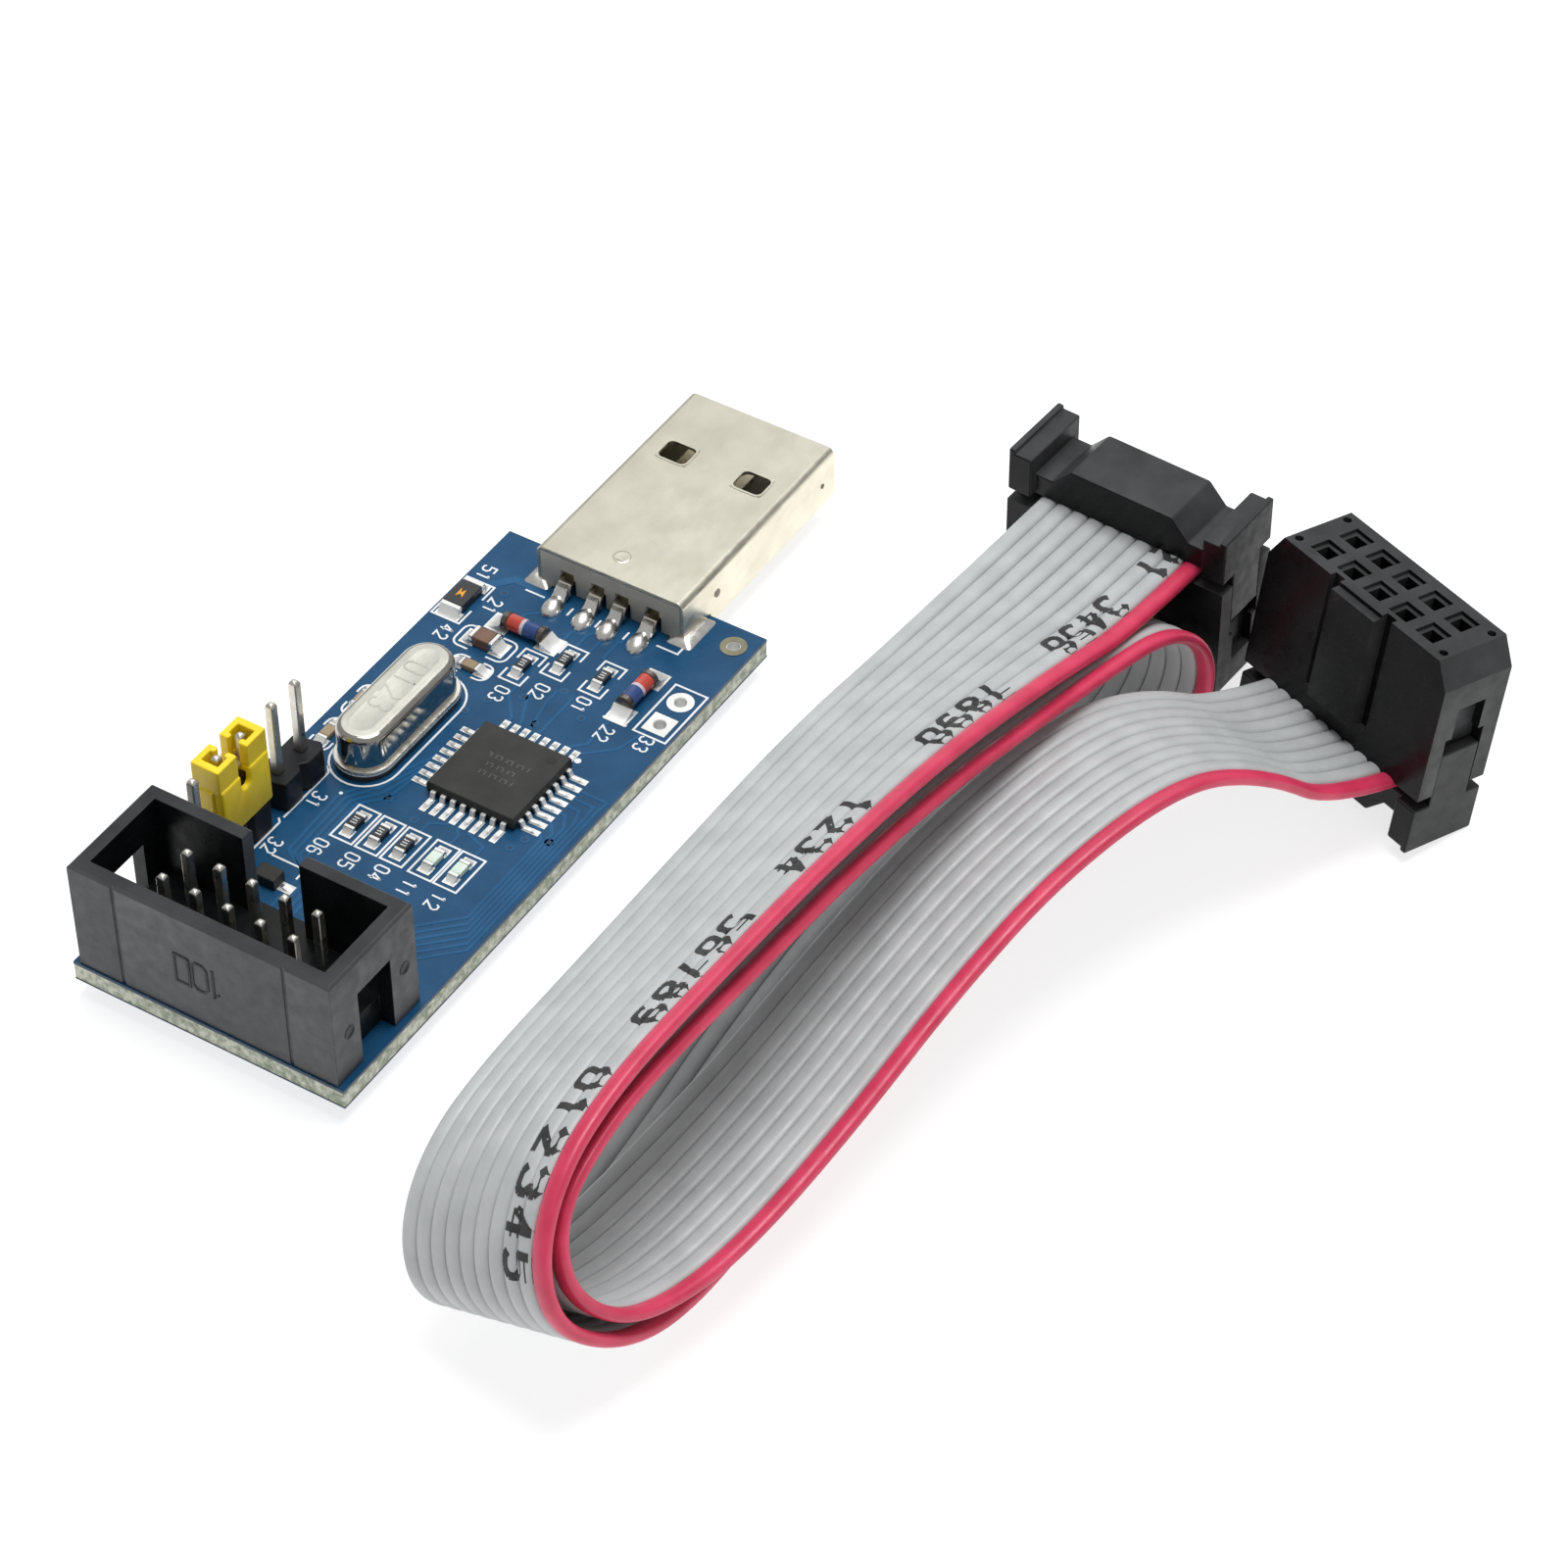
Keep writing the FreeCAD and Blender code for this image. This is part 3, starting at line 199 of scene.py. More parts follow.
def new_tin():
    """Bright matt solder, partly white so that it shows among black parts."""
    material = metal("bright_tin", (0.76, 0.76, 0.74), (0.9, 0.9, 0.88), 0.3, grain_mm=0.5, grain_height=0.01)
    shader_inputs(material)["Metallic"].default_value = 0.55
    return material


MATERIALS = {
    "mask": plastic("solder_mask", (0.008, 0.06, 0.14), (0.012, 0.075, 0.172), 0.3, 0.8, 0.004),
    "trace": plastic("masked_copper", (0.01, 0.08, 0.19), (0.016, 0.1, 0.23), 0.28, 0.5, 0.003),
    "via": plastic("masked_edge", (0.002, 0.02, 0.06), (0.003, 0.035, 0.09), 0.35),
    "laminate": plastic("bare_laminate", (0.24, 0.28, 0.2), (0.62, 0.64, 0.53), 0.6, 0.3, 0.03, 0.45),
    "print": plastic("white_print", (0.7, 0.73, 0.76), (0.84, 0.86, 0.88), 0.5),
    "ring": metal("dull_ring", (0.19, 0.18, 0.12), (0.3, 0.285, 0.2), 0.4),
    "header": plastic("header_black", (0.042, 0.044, 0.047), (0.056, 0.058, 0.062), 0.5),
    # painted shade: a darker copy of the shroud's black plastic, put on its top faces and on its moulded number
    "header_rim": plastic("header_rim", (0.024, 0.025, 0.027), (0.035, 0.037, 0.04), 0.45),
    # painted shade: a near-black copy of the shroud's plastic for the inside of its recess
    "header_inner": plastic("header_inner", (0.004, 0.005, 0.006), (0.008, 0.009, 0.01), 0.3),
    "base": plastic("base_black", (0.011, 0.012, 0.014), (0.018, 0.019, 0.022), 0.42),
    "socket": plastic("socket_black", (0.03, 0.031, 0.032), (0.045, 0.046, 0.048), 0.42),
    # partly a glossier finish, partly painted shade: a copy of the socket plastic ten times darker, for the sockets'
    # near and far faces
    "socket_gloss": plastic("socket_gloss", (0.003, 0.003, 0.0035), (0.006, 0.006, 0.007), 0.3, 0.4, 0.002),
    "chip": plastic("chip_epoxy", (0.03, 0.031, 0.03), (0.042, 0.043, 0.04), 0.55, 0.08, 0.008),
    "chip_gloss": plastic("chip_gloss", (0.02, 0.02, 0.02), (0.03, 0.03, 0.03), 0.25, 0.3, 0.002),
    "chip_mark": plastic("chip_mark", (0.09, 0.085, 0.075), (0.12, 0.115, 0.1), 0.6),
    "cap": plastic("cap_yellow", (0.88, 0.64, 0.008), (0.96, 0.73, 0.014), 0.4, 0.25, 0.008),
    "pin": metal("pin_tin", (0.6, 0.58, 0.53), (0.7, 0.68, 0.62), 0.3, grain_height=0.0008),
    "spring": metal("spring_bronze", (0.5, 0.4, 0.22), (0.62, 0.5, 0.3), 0.3),
    "shell": metal("shell_nickel", (0.54, 0.52, 0.43), (0.61, 0.59, 0.5), 0.36, (2, 1, 1)),
    # painted light: a brighter copy of the shell's nickel for its side faces
    "shell_side_painted_light": metal("shell_side_painted_light", (0.78, 0.74, 0.6), (0.88, 0.84, 0.7), 0.36, (3, 1, 1)),
    "gold": metal("contact_gold", (0.7, 0.66, 0.58), (0.82, 0.76, 0.64), 0.2),
    "solder": metal("solder_tin", (0.72, 0.72, 0.7), (0.88, 0.88, 0.86), 0.2, grain_mm=0.5, grain_height=0.012),
    "tin": new_tin(),
    "blob": metal("smooth_solder", (0.72, 0.71, 0.68), (0.84, 0.83, 0.8), 0.24, grain_height=0.001),
    # the diode ends' real dark metal, used also as painted shade in the plug's side dimples
    "dark_metal_and_dimple_shade": metal("dull_nickel_and_dimple_shade", (0.12, 0.1, 0.09), (0.26, 0.23, 0.21), 0.3),
    # partly a polished finish, partly painted shade: the can's sides are given a darker copy of the lid's metal
    "can": metal("can_polished_and_shaded", (0.44, 0.42, 0.38), (0.5, 0.48, 0.44), 0.12, grain_height=0.0002),
    "can_lid": metal("can_brushed", (0.52, 0.515, 0.465), (0.62, 0.615, 0.555), 0.5, (2, 1, 1), 0.25, 0.014),
    "can_mark": metal("can_stamped", (0.45, 0.445, 0.4), (0.54, 0.535, 0.48), 0.5),
    "flange": metal("can_flange", (0.72, 0.7, 0.63), (0.8, 0.78, 0.71), 0.26, grain_height=0.0005),
    "insulator": plastic("insulator_olive", (0.075, 0.066, 0.035), (0.12, 0.108, 0.06), 0.35),
    "cover": plastic("cover_grey", (0.34, 0.335, 0.3), (0.42, 0.415, 0.38), 0.45),
    "red_glass": plastic("red_glass", (0.4, 0.045, 0.03), (0.58, 0.08, 0.055), 0.1, 0.4, 0.002),
    "pale_glass": plastic("pale_glass", (0.5, 0.42, 0.47), (0.62, 0.55, 0.6), 0.1, 0.4, 0.002),
    "blue_glass": plastic("blue_glass", (0.02, 0.05, 0.17), (0.045, 0.09, 0.26), 0.1, 0.4, 0.002),
    "brown": plastic("ceramic_brown", (0.12, 0.062, 0.035), (0.19, 0.1, 0.06), 0.3),
    "tan": plastic("ceramic_tan", (0.28, 0.2, 0.12), (0.38, 0.29, 0.18), 0.3),
    "glaze": plastic("resistor_glaze", (0.012, 0.012, 0.014), (0.02, 0.02, 0.022), 0.25),
    "orange": plastic("fuse_orange", (0.7, 0.26, 0.01), (0.8, 0.34, 0.02), 0.5),
    "lens": plastic("led_lens", (0.6, 0.74, 0.64), (0.8, 0.86, 0.8), 0.15),
    "grey_wire": plastic("wire_grey", (0.42, 0.435, 0.44), (0.48, 0.495, 0.5), 0.42, 0.5, 0.01),
    "red_wire": plastic("wire_red", (0.56, 0.03, 0.085), (0.66, 0.045, 0.115), 0.38, 0.5, 0.01),
    "ink": plastic("print_ink", (0.03, 0.03, 0.03), (0.06, 0.06, 0.06), 0.6),
}
for name in ("mask", "trace", "header_rim", "header_inner", "base", "socket", "socket_gloss", "chip",
             "chip_gloss", "ink"):
    shader_inputs(MATERIALS[name])["Specular IOR Level"].default_value = DULL_SPECULAR

SLOT_LOOKS = {
    "board_laminate": "mask", "header_plastic": "header", "pin_metal": "pin", "cap_plastic": "cap",
    "spring_metal": "spring", "shell_steel": "shell", "insulator_plastic": "insulator", "contact_gold": "gold",
    "cover_plastic": "cover", "chip_epoxy": "chip", "solder_metal": "solder", "can_steel": "can",
    "fuse_black": "glaze", "diode_glass": "red_glass", "diode_metal": "dark_metal_and_dimple_shade", "capacitor_ceramic": "brown",
    "resistor_film": "glaze", "led_lens": "lens", "socket_plastic": "socket", "wire_grey": "grey_wire",
    "wire_red": "red_wire",
}


# meshes

def unit(vectors):
    return vectors / np.linalg.norm(vectors, axis=-1, keepdims=True)


class Shape:
    """Closed solids in millimetres, gathered into one piece; paint is the place of each face's material."""

    def __init__(self):
        self.points, self.faces, self.paints = [], [], []
        self.paint = 0

    def add(self, points, faces):
        first = len(self.points)
        self.points += [tuple(point) for point in points]
        self.faces += [[first + k for k in face] for face in faces]
        self.paints += [self.paint] * len(faces)

    def prism(self, outline, low, high):
        """A flat outline, anticlockwise from above, between two heights."""
        self.loft([[(x, y, low) for x, y in outline], [(x, y, high) for x, y in outline]])

    def loft(self, rings, closed=False):
        """A skin over rings of equally many points, with a cap on each end unless the rings close on themselves."""
        size, count = len(rings[0]), len(rings)
        faces = [[r * size + k, r * size + (k + 1) % size,
                  (r + 1) % count * size + (k + 1) % size, (r + 1) % count * size + k]
                 for r in range(count if closed else count - 1) for k in range(size)]
        if not closed:
            faces += [list(range(size))[::-1], [(count - 1) * size + k for k in range(size)]]
        self.add([point for ring in rings for point in ring], faces)

    def ring(self, inner, outer, low, high):
        self.loft([at_height(inner, low), at_height(outer, low), at_height(outer, high), at_height(inner, high)],
                  closed=True)

    def strip(self, line, width, low, high, closed=False):
        """A flat band of even width along a line on the board, mitred at its corners."""
        line = np.array(line, float)
        steps = np.roll(line, -1, 0) - line
        if not closed:
            steps[-1] = steps[-2]
        ahead = unit(steps)
        behind = np.roll(ahead, 1, 0)
        if not closed:
            behind[0] = ahead[0]
        left = np.stack([-ahead[:, 1] - behind[:, 1], ahead[:, 0] + behind[:, 0]], 1)
        mitre = left / (1 + (ahead * behind).sum(1))[:, None] * width / 2
        rings = [[(*(p + m), low), (*(p - m), low), (*(p - m), high), (*(p + m), high)]
                 for p, m in zip(line, mitre)]
        self.loft(rings, closed)

    def mesh(self, name, materials=()):
        mesh = bpy.data.meshes.new(name)
        mesh.from_pydata([(x * MM, y * MM, z * MM) for x, y, z in self.points], [], self.faces)
        for material in materials:
            mesh.materials.append(MATERIALS[material])
        mesh.polygons.foreach_set("material_index", self.paints)
        solid = bmesh.new()
        solid.from_mesh(mesh)
        bmesh.ops.recalc_face_normals(solid, faces=solid.faces)
        solid.to_mesh(mesh)
        solid.free()
        return mesh

    def piece(self, name, body, materials, slot, smooth=False):
        return add_piece(name, self.mesh(name, materials), body, smooth)


def add_piece(name, mesh, body, smooth=False):
    piece = bpy.data.objects.new(name, mesh)
    bpy.context.scene.collection.objects.link(piece)
    if smooth:
        mesh.shade_smooth()
        mesh.set_sharp_from_angle(angle=math.radians(40))
    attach(piece, body)
    return piece


def circle(x, y, radius, sides=32, start=0.0):
    turns = [start + 2 * math.pi * k / sides for k in range(sides)]
    return [(x + radius * math.cos(a), y + radius * math.sin(a)) for a in turns]


def box_outline(left, right, front, back):
    return [(left, front), (right, front), (right, back), (left, back)]


def stadium(x, y, half_span, radius, sides=16):
    right = [(x + half_span + radius * math.cos(a), y + radius * math.sin(a))
             for a in np.linspace(-math.pi / 2, math.pi / 2, sides)]
    left = [(x - half_span + radius * math.cos(a), y + radius * math.sin(a))
            for a in np.linspace(math.pi / 2, 3 * math.pi / 2, sides)]
    return right + left


def at_height(outline, height):
    return [(x, y, height) for x, y in outline]


def cad_mesh(node):
    """A clean copy of a CAD node's mesh, its flat faces whole."""
    solid = bmesh.new()
    solid.from_mesh(frame["nodes"][node].data)
    bmesh.ops.remove_doubles(solid, verts=solid.verts, dist=0.002 * MM)
    bmesh.ops.dissolve_limit(solid, angle_limit=math.radians(0.5), verts=solid.verts, edges=solid.edges)
    return solid


def solid_boxes(node):
    """Lowest and highest corner, in millimetres, of each separate solid of a CAD node."""
    solid = cad_mesh(node)
    left, boxes = set(solid.verts), []
    while left:
        reach, found = [left.pop()], []
        while reach:
            vertex = reach.pop()
            found.append(vertex.co / MM)
            for edge in vertex.link_edges:
                other = edge.other_vert(vertex)
                if other in left:
                    left.remove(other)
                    reach.append(other)
        boxes.append((np.min(found, 0), np.max(found, 0)))
    solid.free()
    return sorted(boxes, key=lambda box: (round(box[0][0], 2), round(box[0][1], 2)))


def apply_modifiers(piece):
    evaluated = piece.evaluated_get(bpy.context.evaluated_depsgraph_get())
    mesh = bpy.data.meshes.new_from_object(evaluated)
    piece.modifiers.clear()
    piece.data = mesh


def add_bevel(piece, width, segments=2):
    """Rounded edges where faces meet at more than 30 degrees."""
    bevel = piece.modifiers.new("bevel", "BEVEL")
    bevel.width = width * MM
    bevel.segments = segments
    bevel.limit_method = "ANGLE"
    bevel.angle_limit = math.radians(30)
    bevel.harden_normals = True


def soften_node(node, width, looks=None, finish_of=None):
    """Stand a copy with rounded edges in for a CAD node; finish_of picks a look from a face's middle and normal."""
    solid = cad_mesh(node)
    mesh = bpy.data.meshes.new(node + "_smooth")
    solid.to_mesh(mesh)
    solid.free()
    for look in looks or [SLOT_LOOKS[slots[node]]]:
        mesh.materials.append(MATERIALS[look])
    if finish_of:
        for face in mesh.polygons:
            face.material_index = finish_of(np.array(face.center) / MM, face.normal)
    piece = add_piece(node + "_smooth", mesh, bodies[node], smooth=True)
    add_bevel(piece, width)
    apply_modifiers(piece)
    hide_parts(node)
    return piece


# the board's copper, solder and print

def add_traces():
    """Copper under the mask, which shows as raised lines of a lighter blue."""
    shape = Shape()
    (left, front, _), (right, back, _) = np.array(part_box("microcontroller_leads")) / MM
    middle_x, middle_y = (left + right) / 2, (front + back) / 2

    def line(*places, width=TRACE_WIDTH):
        shape.strip(places, width, BOARD_TOP, BOARD_TOP + TRACE_SHEET)

    for k in range(6):
        start, run, pad = (-18.5 - 0.5 * k, -6.1 - 0.32 * k), -8.5 - 0.33 * k, middle_x - 2.0 + 0.8 * k
        line((-23.8, start[1]), start, (start[0] + start[1] - run, run), (pad - 1.1, run), (pad, run + 1.1 - 0.25 * k),
             (pad, front - 0.4))
    for x, y in sorted(part_centres("resistor_bodies") + part_centres("led_bodies"),
                       key=lambda place: -place[1])[-5:]:
        if x < -10:
            line((x + 1.7, y), (left - 1.2, y), (left - 0.7, middle_y + 0.4 * (y - middle_y)),
                 (left + 0.1, middle_y + 0.4 * (y - middle_y)))
    for k in range(4):
        line((-23.8, 1.2 + 0.55 * k), (-19.5 + 0.3 * k, 1.2 + 0.55 * k), (-17.2, 3.6 + 0.45 * k),
             (-11.4, 3.7 + 0.5 * k), (-9.9 + 0.3 * k, 2.3 + 0.5 * k), (middle_x - 2.8 + 0.8 * k, 1.9),
             (middle_x - 2.8 + 0.8 * k, back))
        line((right - 0.1, middle_y + 2.8 - 0.8 * k), (right + 0.9, middle_y + 2.8 - 0.8 * k),
             (2.6 + 0.3 * k, 1.2 - 1.3 * k), (4.6, 1.2 - 1.3 * k))
        line((8.8, 1.1 - 1.1 * k), (9.9 + 0.3 * k, 1.1 - 1.1 * k), (10.9, 0.6 - 1.0 * k), (11.5, 0.6 - 1.0 * k))
        line((-23.8, -1.0 - 0.6 * k), (-20.6 - 0.4 * k, -1.0 - 0.6 * k), (-18.9, -2.6 - 0.75 * k),
             (-17.6, -2.6 - 0.75 * k))
    line((right - 0.1, middle_y - 2.0), (0.5, middle_y - 2.0), (1.3, -6.0), (4.3, -6.0))
    line((right - 0.1, middle_y - 2.8), (0.1, middle_y - 2.8), (2.0, -8.0), (4.6, -8.7))
    line((11.0, 8.6), (12.4, 7.4), (12.4, 5.4), (11.7, 4.4), width=0.7)
    line((9.0, 4.8), (9.8, 4.8), (10.8, 3.6), (11.4, 3.6))
    shape.piece("board_traces", PROGRAMMER, ["trace"], "board_laminate")


def add_vias():
    """Small plated holes filled by the mask, as dark dots in faint rings."""
    rings, holes = Shape(), Shape()
    for x, y in VIAS:
        rings.prism(circle(x, y, 0.34, 16), BOARD_TOP, BOARD_TOP + TRACE_SHEET)
        holes.prism(circle(x, y, 0.17, 12), BOARD_TOP, BOARD_TOP + 1.3 * TRACE_SHEET)
    rings.piece("via_rings", PROGRAMMER, ["trace"], "board_laminate")
    holes.piece("via_holes", PROGRAMMER, ["via"], "board_laminate")


def add_rings():
    """Bare plated rings round the open holes on the top, the first of the pair square."""
    shape = Shape()
    for side, high in ((1, BOARD_TOP), (-1, BOARD_LOW)):
        near, far = high, high + side * PAD_SHEET
        for paint, (x, y) in enumerate((CORNER_HOLE, LINK_HOLES[1])):
            shape.paint = paint
            shape.ring(circle(x, y, HOLE_RADIUS), circle(x, y, 0.95), near, far)
        x, y = LINK_HOLES[0]
        first = math.radians(-135)
        outer = [(x + 0.92 * square_edge(a), y + 0.92 * square_edge(a - math.pi / 2))
                 for a in (first + 2 * math.pi * k / 32 for k in range(32))]
        shape.ring(circle(x, y, HOLE_RADIUS, 32, first), outer, near, far)
    shape.paint = 1
    for x, y in (CORNER_HOLE, *LINK_HOLES):
        shape.ring(circle(x, y, HOLE_RADIUS - 0.05), circle(x, y, HOLE_RADIUS), BOARD_LOW, BOARD_TOP)
    shape.piece("plated_rings", PROGRAMMER, ["ring", "tin"], "solder_metal", smooth=True)


def square_edge(angle):
    """Cosine stretched onto a square's edge."""
    reach = max(abs(math.cos(angle)), abs(math.sin(angle)))
    return math.cos(angle) / reach


def terminals_outward(node, centres):
    """Each terminal's box and the direction in which it faces away from the middle of its part."""
    found = []
    for low, high in solid_boxes(node):
        middle = (low + high) / 2
        centre = min(centres, key=lambda c: np.linalg.norm(c - middle[:2]))
        away = middle[:2] - centre
        axis = int(abs(away[1]) > abs(away[0]))
        found.append((low, high, axis, int(np.sign(away[axis]))))
    return found


def solder_joint(shape, low, high, axis, side, reach, rise, margin):
    """A pad under a terminal and a concave fillet of solder from its end face to the pad's rim."""
    start = (high if side > 0 else low)[axis]
    back = (low if side > 0 else high)[axis]
    left, right = low[1 - axis] - margin, high[1 - axis] + margin
    edge = start + side * reach

    def spot(along, across, height):
        return (along, across, height) if axis == 0 else (across, along, height)

    pad = [spot(along, across, 0)[:2] for along, across in
           ((back, left), (edge, left), (edge, right), (back, right))]
    shape.prism(pad, BOARD_TOP, BOARD_TOP + PAD_SHEET)
    rings = []
    for share in np.linspace(0, 1, 7):
        height = BOARD_TOP + PAD_SHEET + rise * (1 - share) ** 1.7
        along = start + side * reach * 0.94 * share
        bulge = 0.5 * margin + 0.1 * share
        rings.append([spot(along, left + bulge, BOARD_TOP), spot(along, right - bulge, BOARD_TOP),
                      spot(along, right - bulge - 0.05, height), spot(along, left + bulge + 0.05, height)])
    shape.loft(rings)


def part_centres(node):
    return [((low + high) / 2)[:2] for low, high in solid_boxes(node)]


def add_solder():
    """Solder joints of the small parts and of the chip's leads."""
    shape = Shape()
    for bodies_node, ends_node, reach, rise, margin in JOINTS:
        for low, high, axis, side in terminals_outward(ends_node, part_centres(bodies_node)):
            solder_joint(shape, low, high, axis, side, reach, rise, margin)
    shape.piece("solder_joints", PROGRAMMER, ["tin"], "solder_metal", smooth=True)
    leads = Shape()
    middle = np.array(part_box("microcontroller_body")).mean(0)[:2] / MM
    for low, high, axis, side in terminals_outward("microcontroller_leads", [middle]):
        toe = (high if side > 0 else low)[axis]
        foot = low.copy(), high.copy()
        foot[0 if side > 0 else 1][axis] = toe - side * 0.75
        solder_joint(leads, foot[0], foot[1], axis, side, 0.55, 0.16, 0.06)
    leads.piece("lead_solder", PROGRAMMER, ["tin"], "solder_metal", smooth=True)


def add_print():
    """White outlines and generic digits on the mask."""
    shape = Shape()
    low, high = BOARD_TOP, BOARD_TOP + PRINT_SHEET

    def outline(left, right, front, back, gap=None):
        corners = box_outline(left, right, front, back)
        if gap is None:
            shape.strip(corners, PRINT_WIDTH, low, high, closed=True)
            return
        half = (right - left) * gap / 2
        middle = (left + right) / 2
        for side in (left, right):
            inner = middle + math.copysign(half, side - middle)
            shape.strip([(inner, front), (side, front), (side, back), (inner, back)], PRINT_WIDTH, low, high)

    for node, half_length, half_width in (("resistor_bodies", 1.66, 0.86), ("led_bodies", 1.7, 0.9)):
        for x, y in part_centres(node):
            split = 0.35 if x > 0 and node == "resistor_bodies" else None
            outline(x - half_length, x + half_length, y - half_width, y + half_width, split)
    x, y = part_centres("polyfuse_body")[0]
    outline(x - 2.15, x + 2.15, y - 1.15, y + 1.15, 0.3)
    outline(LINK_HOLES[0][0] - 1.35, LINK_HOLES[1][0] + 1.35, CORNER_HOLE[1] - 1.3, CORNER_HOLE[1] + 1.25)
    for x, y in part_centres("capacitor_bodies"):
        half_width, half_length = (1.1, 2.15) if x > 5 else (0.8, 1.6)
        corners = rounded_box(-half_width, half_width, -half_length, half_length, 0.6)
        for side in (-1, 1):
            ends = [(turn * side * half_width, side * half_length * 0.35) for turn in (1, -1)]
            line = [ends[0], *((u, v) for u, v in corners if side * v > 0), ends[1]]
            shape.strip([(x + u, y + v) if x > 0 else (x + v, y - u) for u, v in line], PRINT_WIDTH, low, high)
    (left, front), (right, back) = [corner[:2] / MM for corner in np.array(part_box("crystal_base"))]
    radius = (back - front) / 2
    oval = stadium((left + right) / 2, (front + back) / 2, (right - left) / 2 - radius, radius + 0.32)
    shape.strip(oval, PRINT_WIDTH, low, high, closed=True)
    for line in PRINT_LINES:
        shape.strip(line, PRINT_WIDTH, low, high)
    shape.prism(circle(-0.35, -6.4, 0.24, 16), low, high)
    shape.prism(circle(-11.15, 5.15, 0.14, 12), low, high)
    for text, x, y in LABELS:
        digits(shape, text, x, y, 1.0, 0.13, low, high)
    shape.piece("board_print", PROGRAMMER, ["print"], "board_laminate")


# lines of each digit in a box one wide and two high
DIGITS = {
    "0": [[(0.25, 0), (0.75, 0), (1, 0.3), (1, 1.7), (0.75, 2), (0.25, 2), (0, 1.7), (0, 0.3), (0.25, 0)]],
    "1": [[(0.5, 0), (0.5, 2)], [(0.15, 1.65), (0.5, 2)]],
    "2": [[(0, 1.6), (0.25, 2), (0.75, 2), (1, 1.7), (1, 1.3), (0, 0), (1, 0)]],
    "3": [[(0, 1.7), (0.25, 2), (0.75, 2), (1, 1.7), (1, 1.3), (0.7, 1.05), (1, 0.75), (1, 0.3), (0.75, 0),
           (0.25, 0), (0, 0.3)]],
    "4": [[(0.7, 0), (0.7, 2)], [(0.7, 2), (0, 0.6), (1, 0.6)]],
    "5": [[(1, 2), (0, 2), (0, 1.1), (0.7, 1.15), (1, 0.85), (1, 0.3), (0.7, 0), (0.2, 0), (0, 0.25)]],
    "6": [[(0.9, 1.8), (0.7, 2), (0.3, 2), (0, 1.6), (0, 0.3), (0.25, 0), (0.75, 0), (1, 0.3), (1, 0.8),
           (0.75, 1.1), (0.25, 1.1), (0, 0.85)]],
    "7": [[(0, 2), (1, 2), (0.4, 0)]],
    "8": [[(0.5, 1.05), (0.1, 1.3), (0.1, 1.75), (0.35, 2), (0.65, 2), (0.9, 1.75), (0.9, 1.3), (0.5, 1.05),
           (0, 0.75), (0, 0.3), (0.25, 0), (0.75, 0), (1, 0.3), (1, 0.75), (0.5, 1.05)]],
    "9": [[(0.1, 0.2), (0.3, 0), (0.7, 0), (1, 0.4), (1, 1.7), (0.75, 2), (0.25, 2), (0, 1.7), (0, 1.2),
           (0.25, 0.9), (0.75, 0.9), (1, 1.15)]],
}


def digits(shape, text, x, y, size, width, low, high):
    """Digits made of straight strokes round a middle, to be read from the board's far side."""
    length = (len(text) - 1) * 0.8 + 0.5
    for place, digit in enumerate(text):
        for stroke in DIGITS[digit]:
            shape.strip([(x - (u * 0.5 + place * 0.8 - length / 2) * size, y - (v - 1) * size / 2)
                         for u, v in stroke], width, low, high)


# parts on the board

def add_board():
    soften_node("circuit_board", 0.04, ["laminate", "mask"], lambda place, normal: int(abs(normal.z) > 0.97))
    (left, front, _), (right, back, _) = np.array(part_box("circuit_board")) / MM
    rim = Shape()
    for bottom, top in ((BOARD_TOP - 0.24, BOARD_TOP - 0.01), (BOARD_LOW + 0.01, BOARD_LOW + 0.12)):
        rim.strip(box_outline(left, right, front, back), 0.05, bottom, top, closed=True)
    rim.piece("mask_rim", PROGRAMMER, ["via"], "board_laminate")


def add_small_parts():
    for node, width in (("resistor_terminals", 0.06), ("led_bodies", 0.08), ("led_terminals", 0.05),
                        ("capacitor_terminals", 0.09), ("polyfuse_body", 0.06),
                        ("polyfuse_terminals", 0.06), ("resistor_bodies", 0.05), ("notch_diode_body", 0.1),
                        ("notch_diode_leads", 0.03)):
        soften_node(node, width)
    soften_node("capacitor_bodies", 0.09, ["brown", "tan"], lambda place, normal: int(place[0] < 4.6))
    soften_node("microcontroller_leads", 0.04, ["tin"])
    marks = Shape()
    for low, high in solid_boxes("resistor_bodies"):
        (x, y), top = ((low + high) / 2)[:2], high[2]
        for k in (-1, 0, 1):
            marks.strip([(x + 0.24 * k, y - 0.2), (x + 0.24 * k, y + 0.2)], 0.07, top - 0.01, top + 0.012)
            marks.strip([(x + 0.24 * k - 0.05, y + 0.2 * k), (x + 0.24 * k + 0.09, y + 0.2 * k)], 0.06,
                        top - 0.01, top + 0.012)
    marks.piece("resistor_marks", PROGRAMMER, ["print"], "resistor_film")
    low, high = solid_boxes("polyfuse_body")[0]
    x, y = ((low + high) / 2)[:2]
    spot = Shape()
    spot.prism([(x - 0.45, y - 0.25), (x + 0.35, y - 0.1), (x - 0.05, y + 0.08), (x + 0.4, y + 0.3),
                (x - 0.5, y + 0.28), (x - 0.15, y + 0.05)], high[2] - 0.01, high[2] + 0.015)
    spot.piece("fuse_mark", PROGRAMMER, ["orange"], "fuse_black")


def lathe(shape, base, axis, profile, sides=24):
    """A turned solid along one board axis: profile is (along, radius)."""
    rings = []
    for along, radius in profile:
        ring = [(along, radius * math.cos(2 * math.pi * k / sides), radius * math.sin(2 * math.pi * k / sides))
                for k in range(sides)]
        order = {0: (0, 1, 2), 1: (1, 0, 2), 2: (1, 2, 0)}[axis]
        rings.append([(base[0] + p[order[0]], base[1] + p[order[1]], base[2] + p[order[2]]) for p in ring])
    shape.loft(rings)


